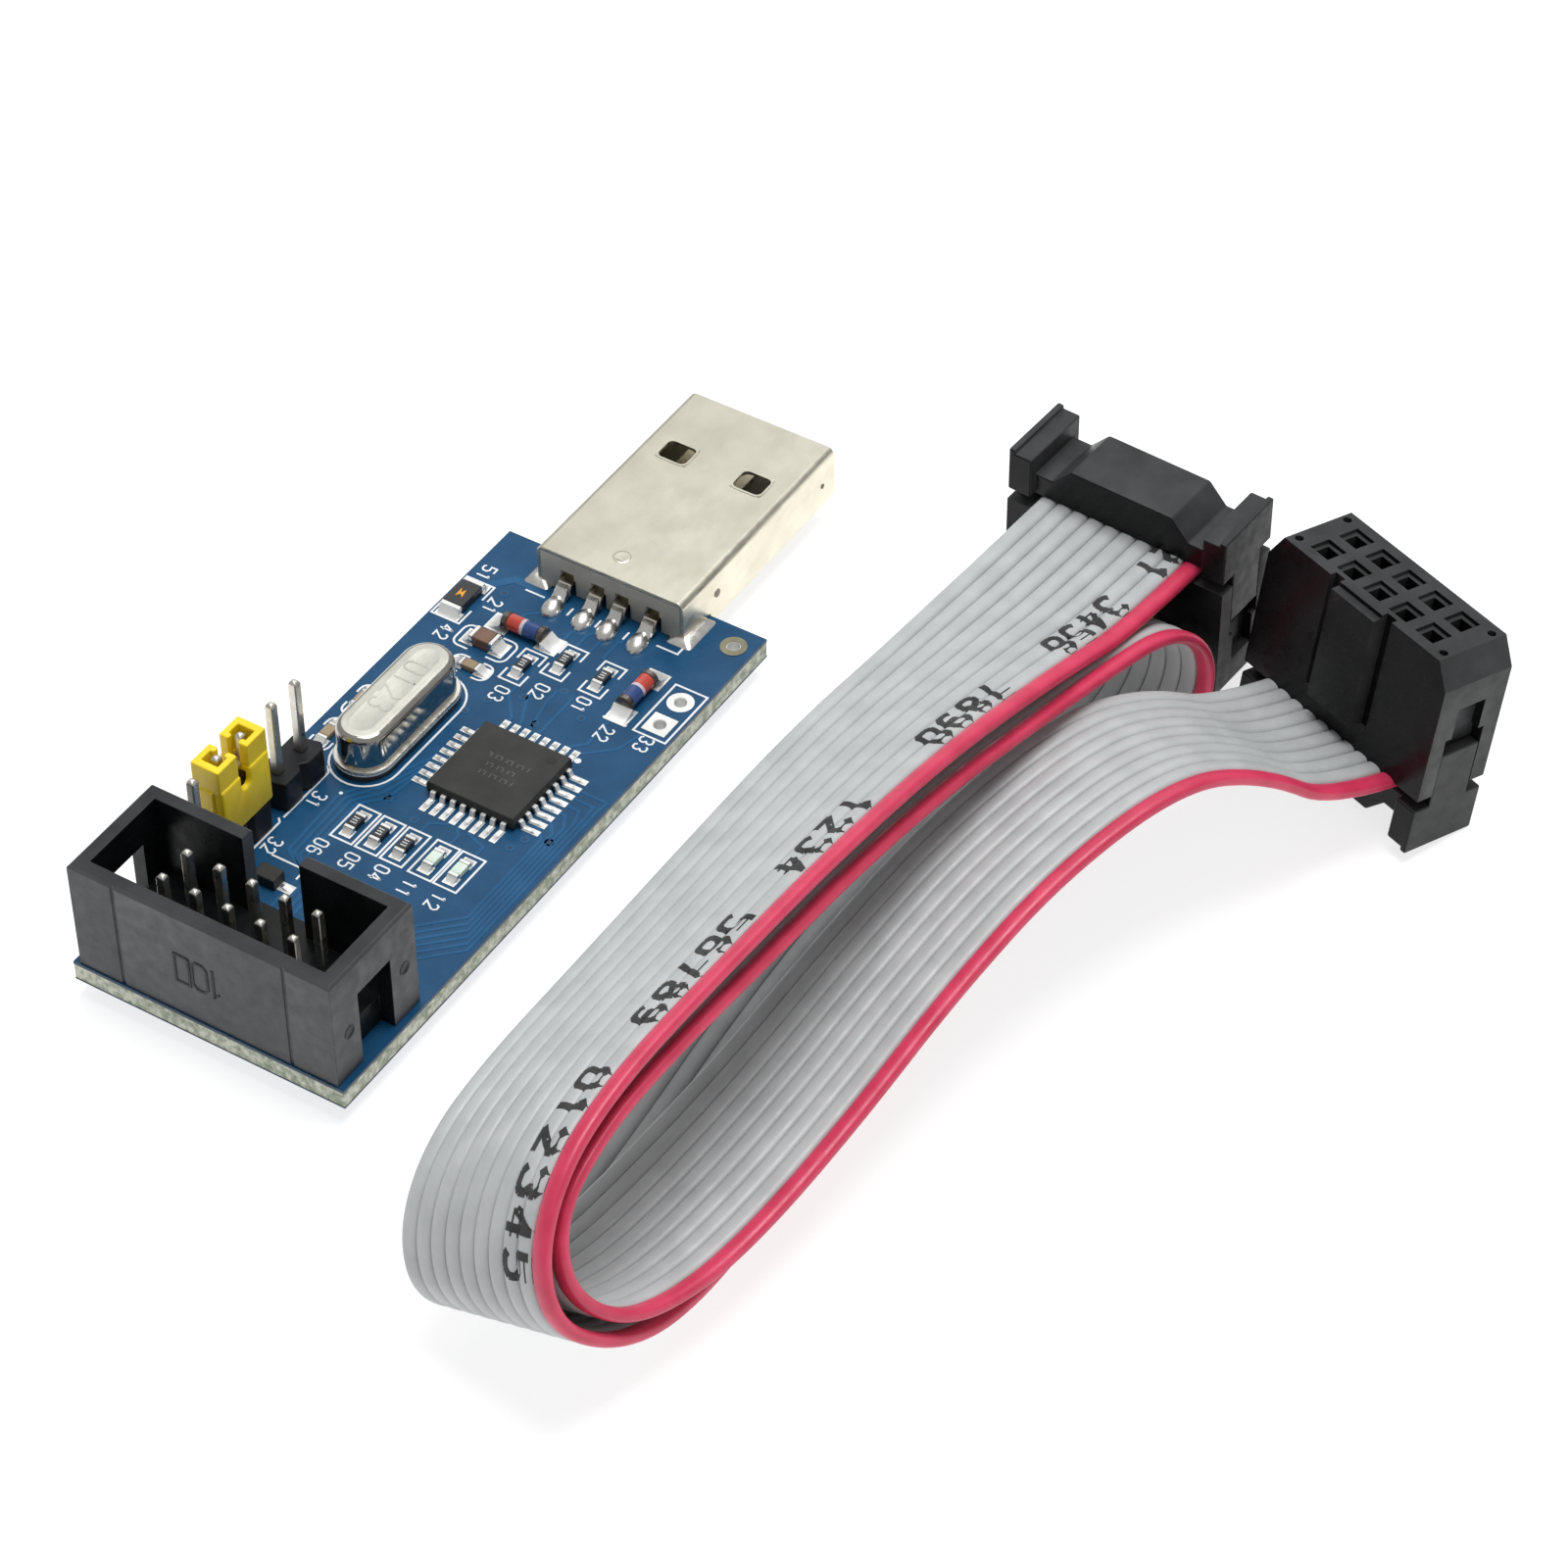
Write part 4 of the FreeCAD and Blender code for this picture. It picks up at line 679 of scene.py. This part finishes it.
def add_diodes():
    """Glass sleeves with a red half, a pale ring and a blue half, between dark metal ends."""
    glass, ends = Shape(), Shape()
    for low, high in solid_boxes("zener_diode_glass"):
        axis = int(high[1] - low[1] > high[0] - low[0])
        middle = (low + high) / 2
        half, radius = (high - low)[axis] / 2, (high - low)[2] / 2
        middle[2] -= radius * 0.14
        radius *= 0.86
        for paint, (start, end) in enumerate([(-half, -0.16), (-0.16, 0.1), (0.1, half)]):
            glass.paint = paint
            lathe(glass, middle, axis, [(-start, radius), (-(start + end) / 2, radius * 1.015), (-end, radius)])
    glass.piece("diode_sleeves", PROGRAMMER, ["red_glass", "pale_glass", "blue_glass"], "diode_glass", smooth=True)
    for low, high in solid_boxes("zener_diode_caps"):
        axis = int(np.argmin((high - low)[:2]))
        middle, half, radius = (low + high) / 2, (high - low)[axis] / 2, (high - low)[2] / 2
        middle[2] -= radius * 0.14
        radius *= 0.86
        lathe(ends, middle, axis, [(-half, radius * 0.86), (-half + 0.07, radius), (half - 0.07, radius),
                                   (half, radius * 0.86)])
    ends.piece("diode_ends", PROGRAMMER, ["dark_metal_and_dimple_shade"], "diode_metal", smooth=True)
    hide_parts("zener_diode_glass")
    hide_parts("zener_diode_caps")


def add_chip():
    soften_node("microcontroller_body", 0.09)
    (left, front, low), (right, back, high) = np.array(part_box("microcontroller_body")) / MM
    x, y = (left + right) / 2, (front + back) / 2
    dimple = Shape()
    lathe(dimple, (right - 1.0, front + 1.0, high), 2, [(-0.02, 0.36), (0.012, 0.36), (0.012, 0.3)], 24)
    dimple.piece("chip_dimple", PROGRAMMER, ["chip_gloss"], "chip_epoxy", smooth=True)
    marks = Shape()
    for row, (start, count) in enumerate(((-1.7, 8), (-1.1, 6), (-1.5, 7))):
        for k in range(count):
            along = y + start + 0.42 * k
            across = x + 0.9 - 0.85 * row
            marks.strip([(across - 0.18, along), (across + 0.18, along)], 0.06, high - 0.01, high + 0.006)
            if (k + row) % 2:
                marks.strip([(across + 0.15, along), (across + 0.15, along + 0.26)], 0.06, high - 0.01, high + 0.006)
    marks.piece("chip_marks", PROGRAMMER, ["chip_mark"], "chip_epoxy")


def add_crystal():
    """The can with its rounded shoulder, the rolled flange, and faint rings on the lid."""
    (left, front, low), (right, back, high) = np.array(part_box("crystal_can")) / MM
    x, y, radius = (left + right) / 2, (front + back) / 2, (back - front) / 2
    span = (right - left) / 2 - radius
    can = Shape()
    profile = [(low, 0.0)] + [(high - 0.55 * (1 - math.sin(a)), 0.55 * (1 - math.cos(a)))
                              for a in np.linspace(0, math.pi / 2, 8)]
    profile += [(high, 0.85), (high + 0.01, 0.92), (high + 0.01, 1.0), (high, 1.07)]
    can.loft([at_height(stadium(x, y, span, radius - inset, 24), level) for level, inset in profile])
    piece = can.piece("crystal_can_polished", PROGRAMMER, ["can", "can_lid"], "can_steel", smooth=True)
    # the sides take the darker polished copy, painted shade; faces turned up take the lid's brushed metal
    for face in piece.data.polygons:
        face.material_index = int(face.normal.z > 0.97)
    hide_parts("crystal_can")
    stamp = Shape()
    digits(stamp, "0123", x + 0.4, y, 1.7, 0.14, high - 0.01, high + 0.015)
    stamp.piece("crystal_number", PROGRAMMER, ["can_mark"], "can_steel")
    (left, front, low), (right, back, high) = np.array(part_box("crystal_base")) / MM
    radius = (back - front) / 2
    span = (right - left) / 2 - radius
    flange = Shape()
    profile = [(low, 0.1), (low + 0.05, 0.02), (low + 0.14, 0.0), (high - 0.1, 0.0), (high - 0.02, 0.06), (high, 0.16)]
    flange.loft([at_height(stadium(x, y, span, radius - inset, 24), level) for level, inset in profile])
    flange.piece("crystal_flange", PROGRAMMER, ["flange"], "can_steel", smooth=True)
    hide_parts("crystal_base")


def add_jumper_cap():
    """A yellow cap with a slot in its walls and two hooked lugs on top."""
    low, high = np.array(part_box("jumper_cap_housing")) / MM
    x, y = ((low + high) / 2)[:2]
    half, depth, bottom, top = (high - low)[0] / 2, (high - low)[1] / 2, low[2], high[2]
    shoulder = top - 1.8
    slot = [(0.45 * math.cos(a), shoulder - 0.95 + 0.45 * math.sin(a)) for a in np.linspace(0, -math.pi, 9)]
    face = [(-half, bottom), (half, bottom), (half, shoulder), (0.45, shoulder), *slot,
            (-0.45, shoulder), (-half, shoulder)]
    shell = Shape()
    shell.loft([[(x + u, y + v, w) for u, w in face] for v in (-depth, depth)])
    body = shell.piece("jumper_cap", JUMPER, ["cap"], "cap_plastic", smooth=True)
    add_bevel(body, 0.2, 3)
    apply_modifiers(body)
    cutter = Shape()
    cutter.prism(box_outline(x - 2.05, x + 2.05, y - 0.85, y + 0.85), bottom - 1, shoulder - 0.5)
    for side in (-1, 1):
        cutter.prism(box_outline(x + side * 1.27 - 0.55, x + side * 1.27 + 0.55, y - 0.5, y + 0.5),
                     shoulder - 1, shoulder + 1)
    hollow(body, cutter)
    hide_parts("jumper_cap_housing")
    lugs = Shape()
    hook = [(0.5, -1.12), (2.55, -1.12), (2.55, 1.12), (0.5, 1.12), (0.5, 0.42), (0.78, 0.34), (1.0, 0.45),
            (1.0, 0.66), (1.95, 0.66), (1.95, -0.66), (1.0, -0.66), (1.0, -0.45), (0.78, -0.34), (0.5, -0.42)]
    for side in (-1, 1):
        lugs.prism([(x + side * u, y + v) for u, v in hook], shoulder - 0.3, top)
        lugs.prism([(x + side * u, y + v) for u, v in box_outline(half - 0.1, half + 0.14, -0.55, 0.55)],
                   bottom, shoulder - 0.2)
    piece = lugs.piece("jumper_cap_lugs", JUMPER, ["cap"], "cap_plastic", smooth=True)
    add_bevel(piece, 0.2, 4)
    apply_modifiers(piece)


def hollow(piece, cutter):
    """Cut the cutter's solids out of a piece, one after another."""
    tool = bpy.data.objects.new("cutter", cutter.mesh("cutter"))
    bpy.context.scene.collection.objects.link(tool)
    cut = piece.modifiers.new("cut", "BOOLEAN")
    cut.operation = "DIFFERENCE"
    cut.solver = "EXACT"
    cut.use_self = True
    cut.object = tool
    apply_modifiers(piece)
    bpy.data.objects.remove(tool)
    if "custom_normal" in piece.data.attributes:
        piece.data.attributes.remove(piece.data.attributes["custom_normal"])
    piece.data.shade_smooth()
    piece.data.set_sharp_from_angle(angle=math.radians(35))


# USB plug

def add_usb():
    """Rounded corners in the plug's windows, dimples drawn as dark discs of painted shade, the solder on its legs and
    tails.
    """
    (rear, _, _), (_, left, high) = np.array(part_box("usb_shell")) / MM
    details = Shape()
    corner = 0.5
    for side in (-1, 1):
        window = (26.4 - 1.0, 26.4 + 1.0, side * 3.1 - 1.2, side * 3.1 + 1.2)
        for x, y, start in ((window[1], window[3], 0), (window[0], window[3], 90), (window[0], window[2], 180),
                            (window[1], window[2], 270)):
            turn = math.radians(start)
            cos, sin = math.cos(turn), math.sin(turn)
            arc = [(corner * (math.cos(a) - 1), corner * (math.sin(a) - 1))
                   for a in np.linspace(0, math.pi / 2, 8)]
            outline = [(x + u * cos - v * sin, y + u * sin + v * cos) for u, v in [(0.02, 0.02)] + arc[::-1]]
            details.prism(outline, high - 0.3, high + 0.004)
        rim = [(window[0] - 0.03, window[2] - 0.03), (window[1] + 0.03, window[3] + 0.03)]
        details.strip(rounded_box(rim[0][0], rim[1][0], rim[0][1], rim[1][1], corner), 0.16, high - 0.05,
                      high + 0.035, closed=True)
    lathe(details, (15.2, 0.3, high), 2, [(-0.02, 0.66), (0.015, 0.62), (0.03, 0.52), (0.005, 0.34)], 32)
    details.prism([(14.8, -0.05), (15.35, 0.3), (14.8, 0.65)], high - 0.01, high + 0.06)
    details.piece("usb_pressings", PROGRAMMER, ["shell"], "shell_steel", smooth=True)
    # painted light: the shell's side faces, turned along Y, take the brighter copy of its nickel
    soften_node("usb_shell", 0.1, ["shell", "shell_side_painted_light"], lambda place, normal: int(abs(normal.y) > 0.8))
    cover = soften_node("usb_rear_cover", 0.05)
    slots_cut = Shape()
    for low_corner, high_corner in solid_boxes("usb_contacts"):
        y = (low_corner[1] + high_corner[1]) / 2
        slots_cut.prism(box_outline(rear - 1, rear + 0.6, y - 0.55, y + 0.55), BOARD_TOP - 1, 4.9)
    hollow(cover, slots_cut)
    # painted shade: the pressed dimples in the shell's sides are drawn as slightly proud discs of dark metal
    dots = Shape()
    for x, z, radius in ((31.0, 4.0, 0.2), (17.4, 4.3, 0.34)):
        for side in (-1, 1):
            lathe(dots, (x, side * left, z), 1, [(side * along, radius * share) for along, share in
                                                 ((-0.03, 1.0), (0.04, 0.95), (0.045, 0.5))], 20)
    dots.piece("usb_side_dimple_shade", PROGRAMMER, ["dark_metal_and_dimple_shade"], "shell_steel", smooth=True)
    solder = Shape()
    for side in (-1, 1):
        x, y = 14.3, side * 5.85
        solder.loft([at_height(rounded_box(x - 1.75 + inset, x + 1.75 - inset, y - 1.0 + inset, y + 1.0 - inset, 0.3),
                               BOARD_TOP + level)
                     for level, inset in ((0.0, 0.0), (PAD_SHEET, 0.0), (0.16, 0.12), (0.34, 0.42), (0.42, 0.62))])
    for low_corner, high_corner in solid_boxes("usb_pad_solder"):
        x, y = ((low_corner + high_corner) / 2)[:2]
        profile = [(0.0, 1.0), (0.1, 0.99), (0.3, 0.92), (0.5, 0.74), (0.66, 0.48), (0.74, 0.2)]
        wick = [(3.4, 11.6, 12.9, 0.55), (3.75, 12.1, 12.85, 0.5), (4.15, 12.35, 12.8, 0.46)]
        solder.loft([at_height(rounded_box(front, back, y - half, y + half, 0.2), level)
                     for level, front, back, half in wick])
        drop = [(1.3 * math.cos(a), math.sin(a) * (0.72 - 0.2 * math.cos(a)))
                for a in (2 * math.pi * k / 28 for k in range(28))]
        solder.loft([[(x + u * share, y + v * share, BOARD_TOP + level) for u, v in drop]
                     for level, share in profile])
    solder.piece("usb_solder", PROGRAMMER, ["blob"], "solder_metal", smooth=True)
    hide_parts("usb_pad_solder")


def rounded_box(left, right, front, back, corner, sides=5):
    outline = []
    for x, y, start in ((right - corner, back - corner, 0), (left + corner, back - corner, 90),
                        (left + corner, front + corner, 180), (right - corner, front + corner, 270)):
        outline += [(x + corner * math.cos(a), y + corner * math.sin(a))
                    for a in np.linspace(math.radians(start), math.radians(start + 90), sides)]
    return outline


# box header, jumper headers and sockets

def add_header():
    low, high = np.array(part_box("box_header_shroud")) / MM

    # painted shade: faces on the shroud's top get the darker copy of its plastic (1), faces inside its recess a
    # near-black one (2)
    def finish_of(place, normal):
        if normal.z > 0.9 and place[2] > high[2] - 0.1:
            return 1
        return 2 if all(low[:2] + 0.6 < place[:2]) and all(place[:2] < high[:2] - 0.6) else 0

    soften_node("box_header_shroud", 0.12, ["header", "header_rim", "header_inner"], finish_of)
    for node in ("jumper_header_3way_base", "jumper_header_2way_base"):
        soften_node(node, 0.12, ["base"])
    for node in ("box_header_pins", "jumper_header_3way_pins", "jumper_header_2way_pins"):
        soften_node(node, 0.1)
    details = Shape()
    for side, (x, z) in [(s, place) for s in (-1, 1) for place in ((-30.9, 6.6), (-25.0, 7.1))]:
        face = high[1] if side > 0 else low[1]
        lathe(details, (x, face, z), 1, [(side * along, radius) for along, radius in
                                         ((-0.03, 0.5), (0.03, 0.5), (0.03, 0.42), (0.005, 0.38))], 24)
    details.piece("header_dimples", PROGRAMMER, ["base"], "header_plastic", smooth=True)
    number = Shape()
    marks = [[(u * 1.15 + 1.05 * place - 1.45, 8.3 - v * 1.2) for u, v in stroke]
             for place, digit in enumerate("10") for stroke in DIGITS[digit]]
    for line in marks + [[(1.0, 8.3), (2.1, 8.3), (2.1, 5.9), (1.0, 5.9), (1.0, 8.3)]]:
        number.strip(line, 0.18, -0.05, 0.05)
    number.points = [(low[0] - proud, y, z) for y, z, proud in number.points]
    # painted shade: the moulded number's strokes take the darker copy of the shroud's plastic
    number.piece("header_number", PROGRAMMER, ["header_rim"], "header_plastic")


def add_sockets():
    for letter, heading, lean in (("a", ROUTE[0][3], 0.0), ("b", ROUTE[-1][3], SOCKET_LEAN)):
        heading, lean = math.radians(heading), math.radians(lean)
        facing = Vector((-math.sin(heading) * math.cos(lean), math.cos(heading) * math.cos(lean), -math.sin(lean)))
        for part in ("body", "cover"):
            # faces square to the socket's facing get the glossier copy, whose much darker colour is painted shade
            soften_node(f"idc_socket_{letter}_{part}", 0.13, ["socket", "socket_gloss"],
                        lambda place, normal: int(abs(normal.dot(facing)) > 0.97))


def add_ribbon_print():
    """Worn factory print, here plain digits, on the second and third wires beside the red one."""
    line, wide, up = ribbon_frame()
    reach = np.concatenate([[0], np.cumsum(np.linalg.norm(np.diff(line, axis=0), axis=1))]) / MM
    shape = Shape()
    for start, text in RIBBON_PRINT:
        for place, digit in enumerate(text):
            for stroke in DIGITS[digit]:
                marks = [(start + place * RIBBON_DIGIT_STEP + u * RIBBON_DIGIT_WIDTH,
                          RIBBON_PRINT_NEAR + v * RIBBON_DIGIT_HEIGHT / 2) for u, v in stroke]
                for ends in zip(marks, marks[1:]):
                    surface_bar(shape, line, wide, up, reach, ends)
    shape.piece("ribbon_print", CABLE, ["ink"], "wire_grey")


def surface_bar(shape, line, wide, up, reach, ends):
    """A thin bar on the ribbon's upper face between two places given along and across it."""
    (s0, v0), (s1, v1) = ends
    rings = []
    along_bar = np.array([s1 - s0, v1 - v0]) / math.hypot(s1 - s0, v1 - v0)
    for share in np.linspace(-0.06, 1.06, 9):
        ring = []
        for side, lift in ((-1, 0.0), (1, 0.0), (1, 0.035), (-1, 0.035)):
            s = s0 + (s1 - s0) * share - along_bar[1] * side * RIBBON_STROKE / 2
            v = v0 + (v1 - v0) * share + along_bar[0] * side * RIBBON_STROKE / 2
            k = np.searchsorted(reach, s)
            part = (s - reach[k - 1]) / (reach[k] - reach[k - 1])
            base, across, normal = [a[k - 1] * (1 - part) + a[k] * part for a in (line, wide, up)]
            height = wire_height((v / WIRE_PITCH) % 1.0 - 0.5)
            ring.append(tuple((base + across * v * MM + normal * (height + lift) * MM) / MM))
        rings.append(ring)
    shape.loft(rings)


# camera, light and floor

def add_camera():
    """Above the header end, looking down along the board."""
    camera = bpy.data.objects.new("camera", bpy.data.cameras.new("camera"))
    bpy.context.scene.collection.objects.link(camera)
    camera.location = (-0.1909, -0.1442, 0.2281)
    heading, pitch, roll = math.radians(32.54), math.radians(44.08), math.radians(-0.42)
    forward = Vector((math.cos(heading) * math.cos(pitch), math.sin(heading) * math.cos(pitch), -math.sin(pitch)))
    turn = forward.to_track_quat("-Z", "Y").to_matrix() @ Matrix.Rotation(roll, 3, "Z")
    camera.rotation_euler = turn.to_euler()
    camera.data.lens = 112.5
    camera.data.sensor_width = 36.0
    camera.data.clip_start = 0.01
    bpy.context.scene.camera = camera


def add_light(name, place, aim, size, power):
    lamp = bpy.data.lights.new(name, "AREA")
    lamp.size = size
    lamp.energy = power
    holder = bpy.data.objects.new(name, lamp)
    bpy.context.scene.collection.objects.link(holder)
    holder.location = place
    holder.rotation_euler = (Vector(aim) - Vector(place)).to_track_quat("-Z", "Y").to_euler()


def add_studio():
    scene = bpy.context.scene
    scene.view_settings.view_transform = "Standard"
    scene.world = bpy.data.worlds.new("studio")
    scene.world.use_nodes = True
    background = scene.world.node_tree.nodes["Background"]
    background.inputs["Color"].default_value = (1.0, 1.0, 1.0, 1.0)
    background.inputs["Strength"].default_value = 0.42
    add_light("key", (0.1, -0.05, 0.65), (0, -0.02, 0), 0.35, 3.4)
    add_light("card", (0.55, 0.36, 0.65), (0, -0.02, 0), 0.7, 1.1)
    bpy.ops.mesh.primitive_plane_add(size=4.0)
    floor = bpy.context.object
    floor.name = "floor"
    paper = new_material("paper", (0.4, 0.4, 0.4), 0.9, Emission_Color=(1, 1, 1, 1), Emission_Strength=0.75)
    floor.data.materials.append(paper)


# the ribbon cable

def read_spline(name, places):
    """Points along a smooth order 3 spline with these control points, in metres."""
    curve = bpy.data.curves.new(name, "CURVE")
    curve.dimensions = "3D"
    curve.resolution_u = 12
    spline = curve.splines.new("NURBS")
    spline.points.add(len(places) - 1)
    for point, place in zip(spline.points, places):
        point.co = (*place, 1.0)
    spline.order_u = 3
    spline.use_endpoint_u = True
    holder = bpy.data.objects.new(name, curve)
    mesh = bpy.data.meshes.new_from_object(holder)
    points = np.array([vertex.co for vertex in mesh.vertices])
    bpy.data.objects.remove(holder)
    return points


def ribbon_frame():
    """Middle line, direction across towards the red wire, and upward normal, all along the ribbon."""
    middle = np.array([place[:3] for place in ROUTE]) * MM
    heading, tilt = [np.radians([place[k] for place in ROUTE]) for k in (3, 4)]
    across = np.stack([np.cos(heading) * np.cos(tilt), np.sin(heading) * np.cos(tilt), np.sin(tilt)], 1)
    line = read_spline("route_middle", middle)
    edge = read_spline("route_edge", middle + across * WIRES * WIRE_PITCH / 2 * MM)
    along = unit(np.gradient(line, axis=0))
    wide = edge - line
    wide = unit(wide - along * (wide * along).sum(1)[:, None])
    return line, wide, np.cross(along, wide)


def wire_section():
    """A wire's outline, rounded above and below and meeting the next wire in a narrow groove."""
    across = np.sin(np.linspace(-math.pi / 2, math.pi / 2, 13)) / 2
    upper = [(x * WIRE_PITCH, wire_height(x)) for x in across]
    return upper + [(x, -y) for x, y in upper[::-1]]


def wire_height(across):
    """Half the wire's thickness at a part of its width, from -0.5 to 0.5."""
    return WEB_THICKNESS / 2 + (RIBBON_THICKNESS - WEB_THICKNESS) / 2 * math.sqrt(max(1 - abs(2 * across) ** 2.5, 0))


def add_ribbon():
    line, wide, up = ribbon_frame()
    section = wire_section()
    for number in range(WIRES):
        offset = (number - (WIRES - 1) / 2) * WIRE_PITCH
        last = number == WIRES - 1
        shape = Shape()
        shape.loft([[(middle + across * (offset + x) * MM + normal * y * MM) / MM for x, y in section]
                    for middle, across, normal in zip(line, wide, up)])
        wire = shape.piece(f"ribbon_wire_{number + 1}", CABLE, ["red_wire" if last else "grey_wire"],
                           "wire_red" if last else "wire_grey", smooth=True)
        path = line + wide * offset * MM
        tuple(path[0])
        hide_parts("ribbon_marker_wire" if last else "ribbon_cable")


add_camera()
add_studio()
for name, node in frame["nodes"].items():
    node.data.materials.clear()
    node.data.materials.append(MATERIALS[SLOT_LOOKS[slots[name]]])
add_ribbon()
add_ribbon_print()
add_board()
add_traces()
add_vias()
add_rings()
add_print()
add_solder()
add_small_parts()
add_diodes()
add_chip()
add_crystal()
add_jumper_cap()
add_usb()
add_header()
add_sockets()
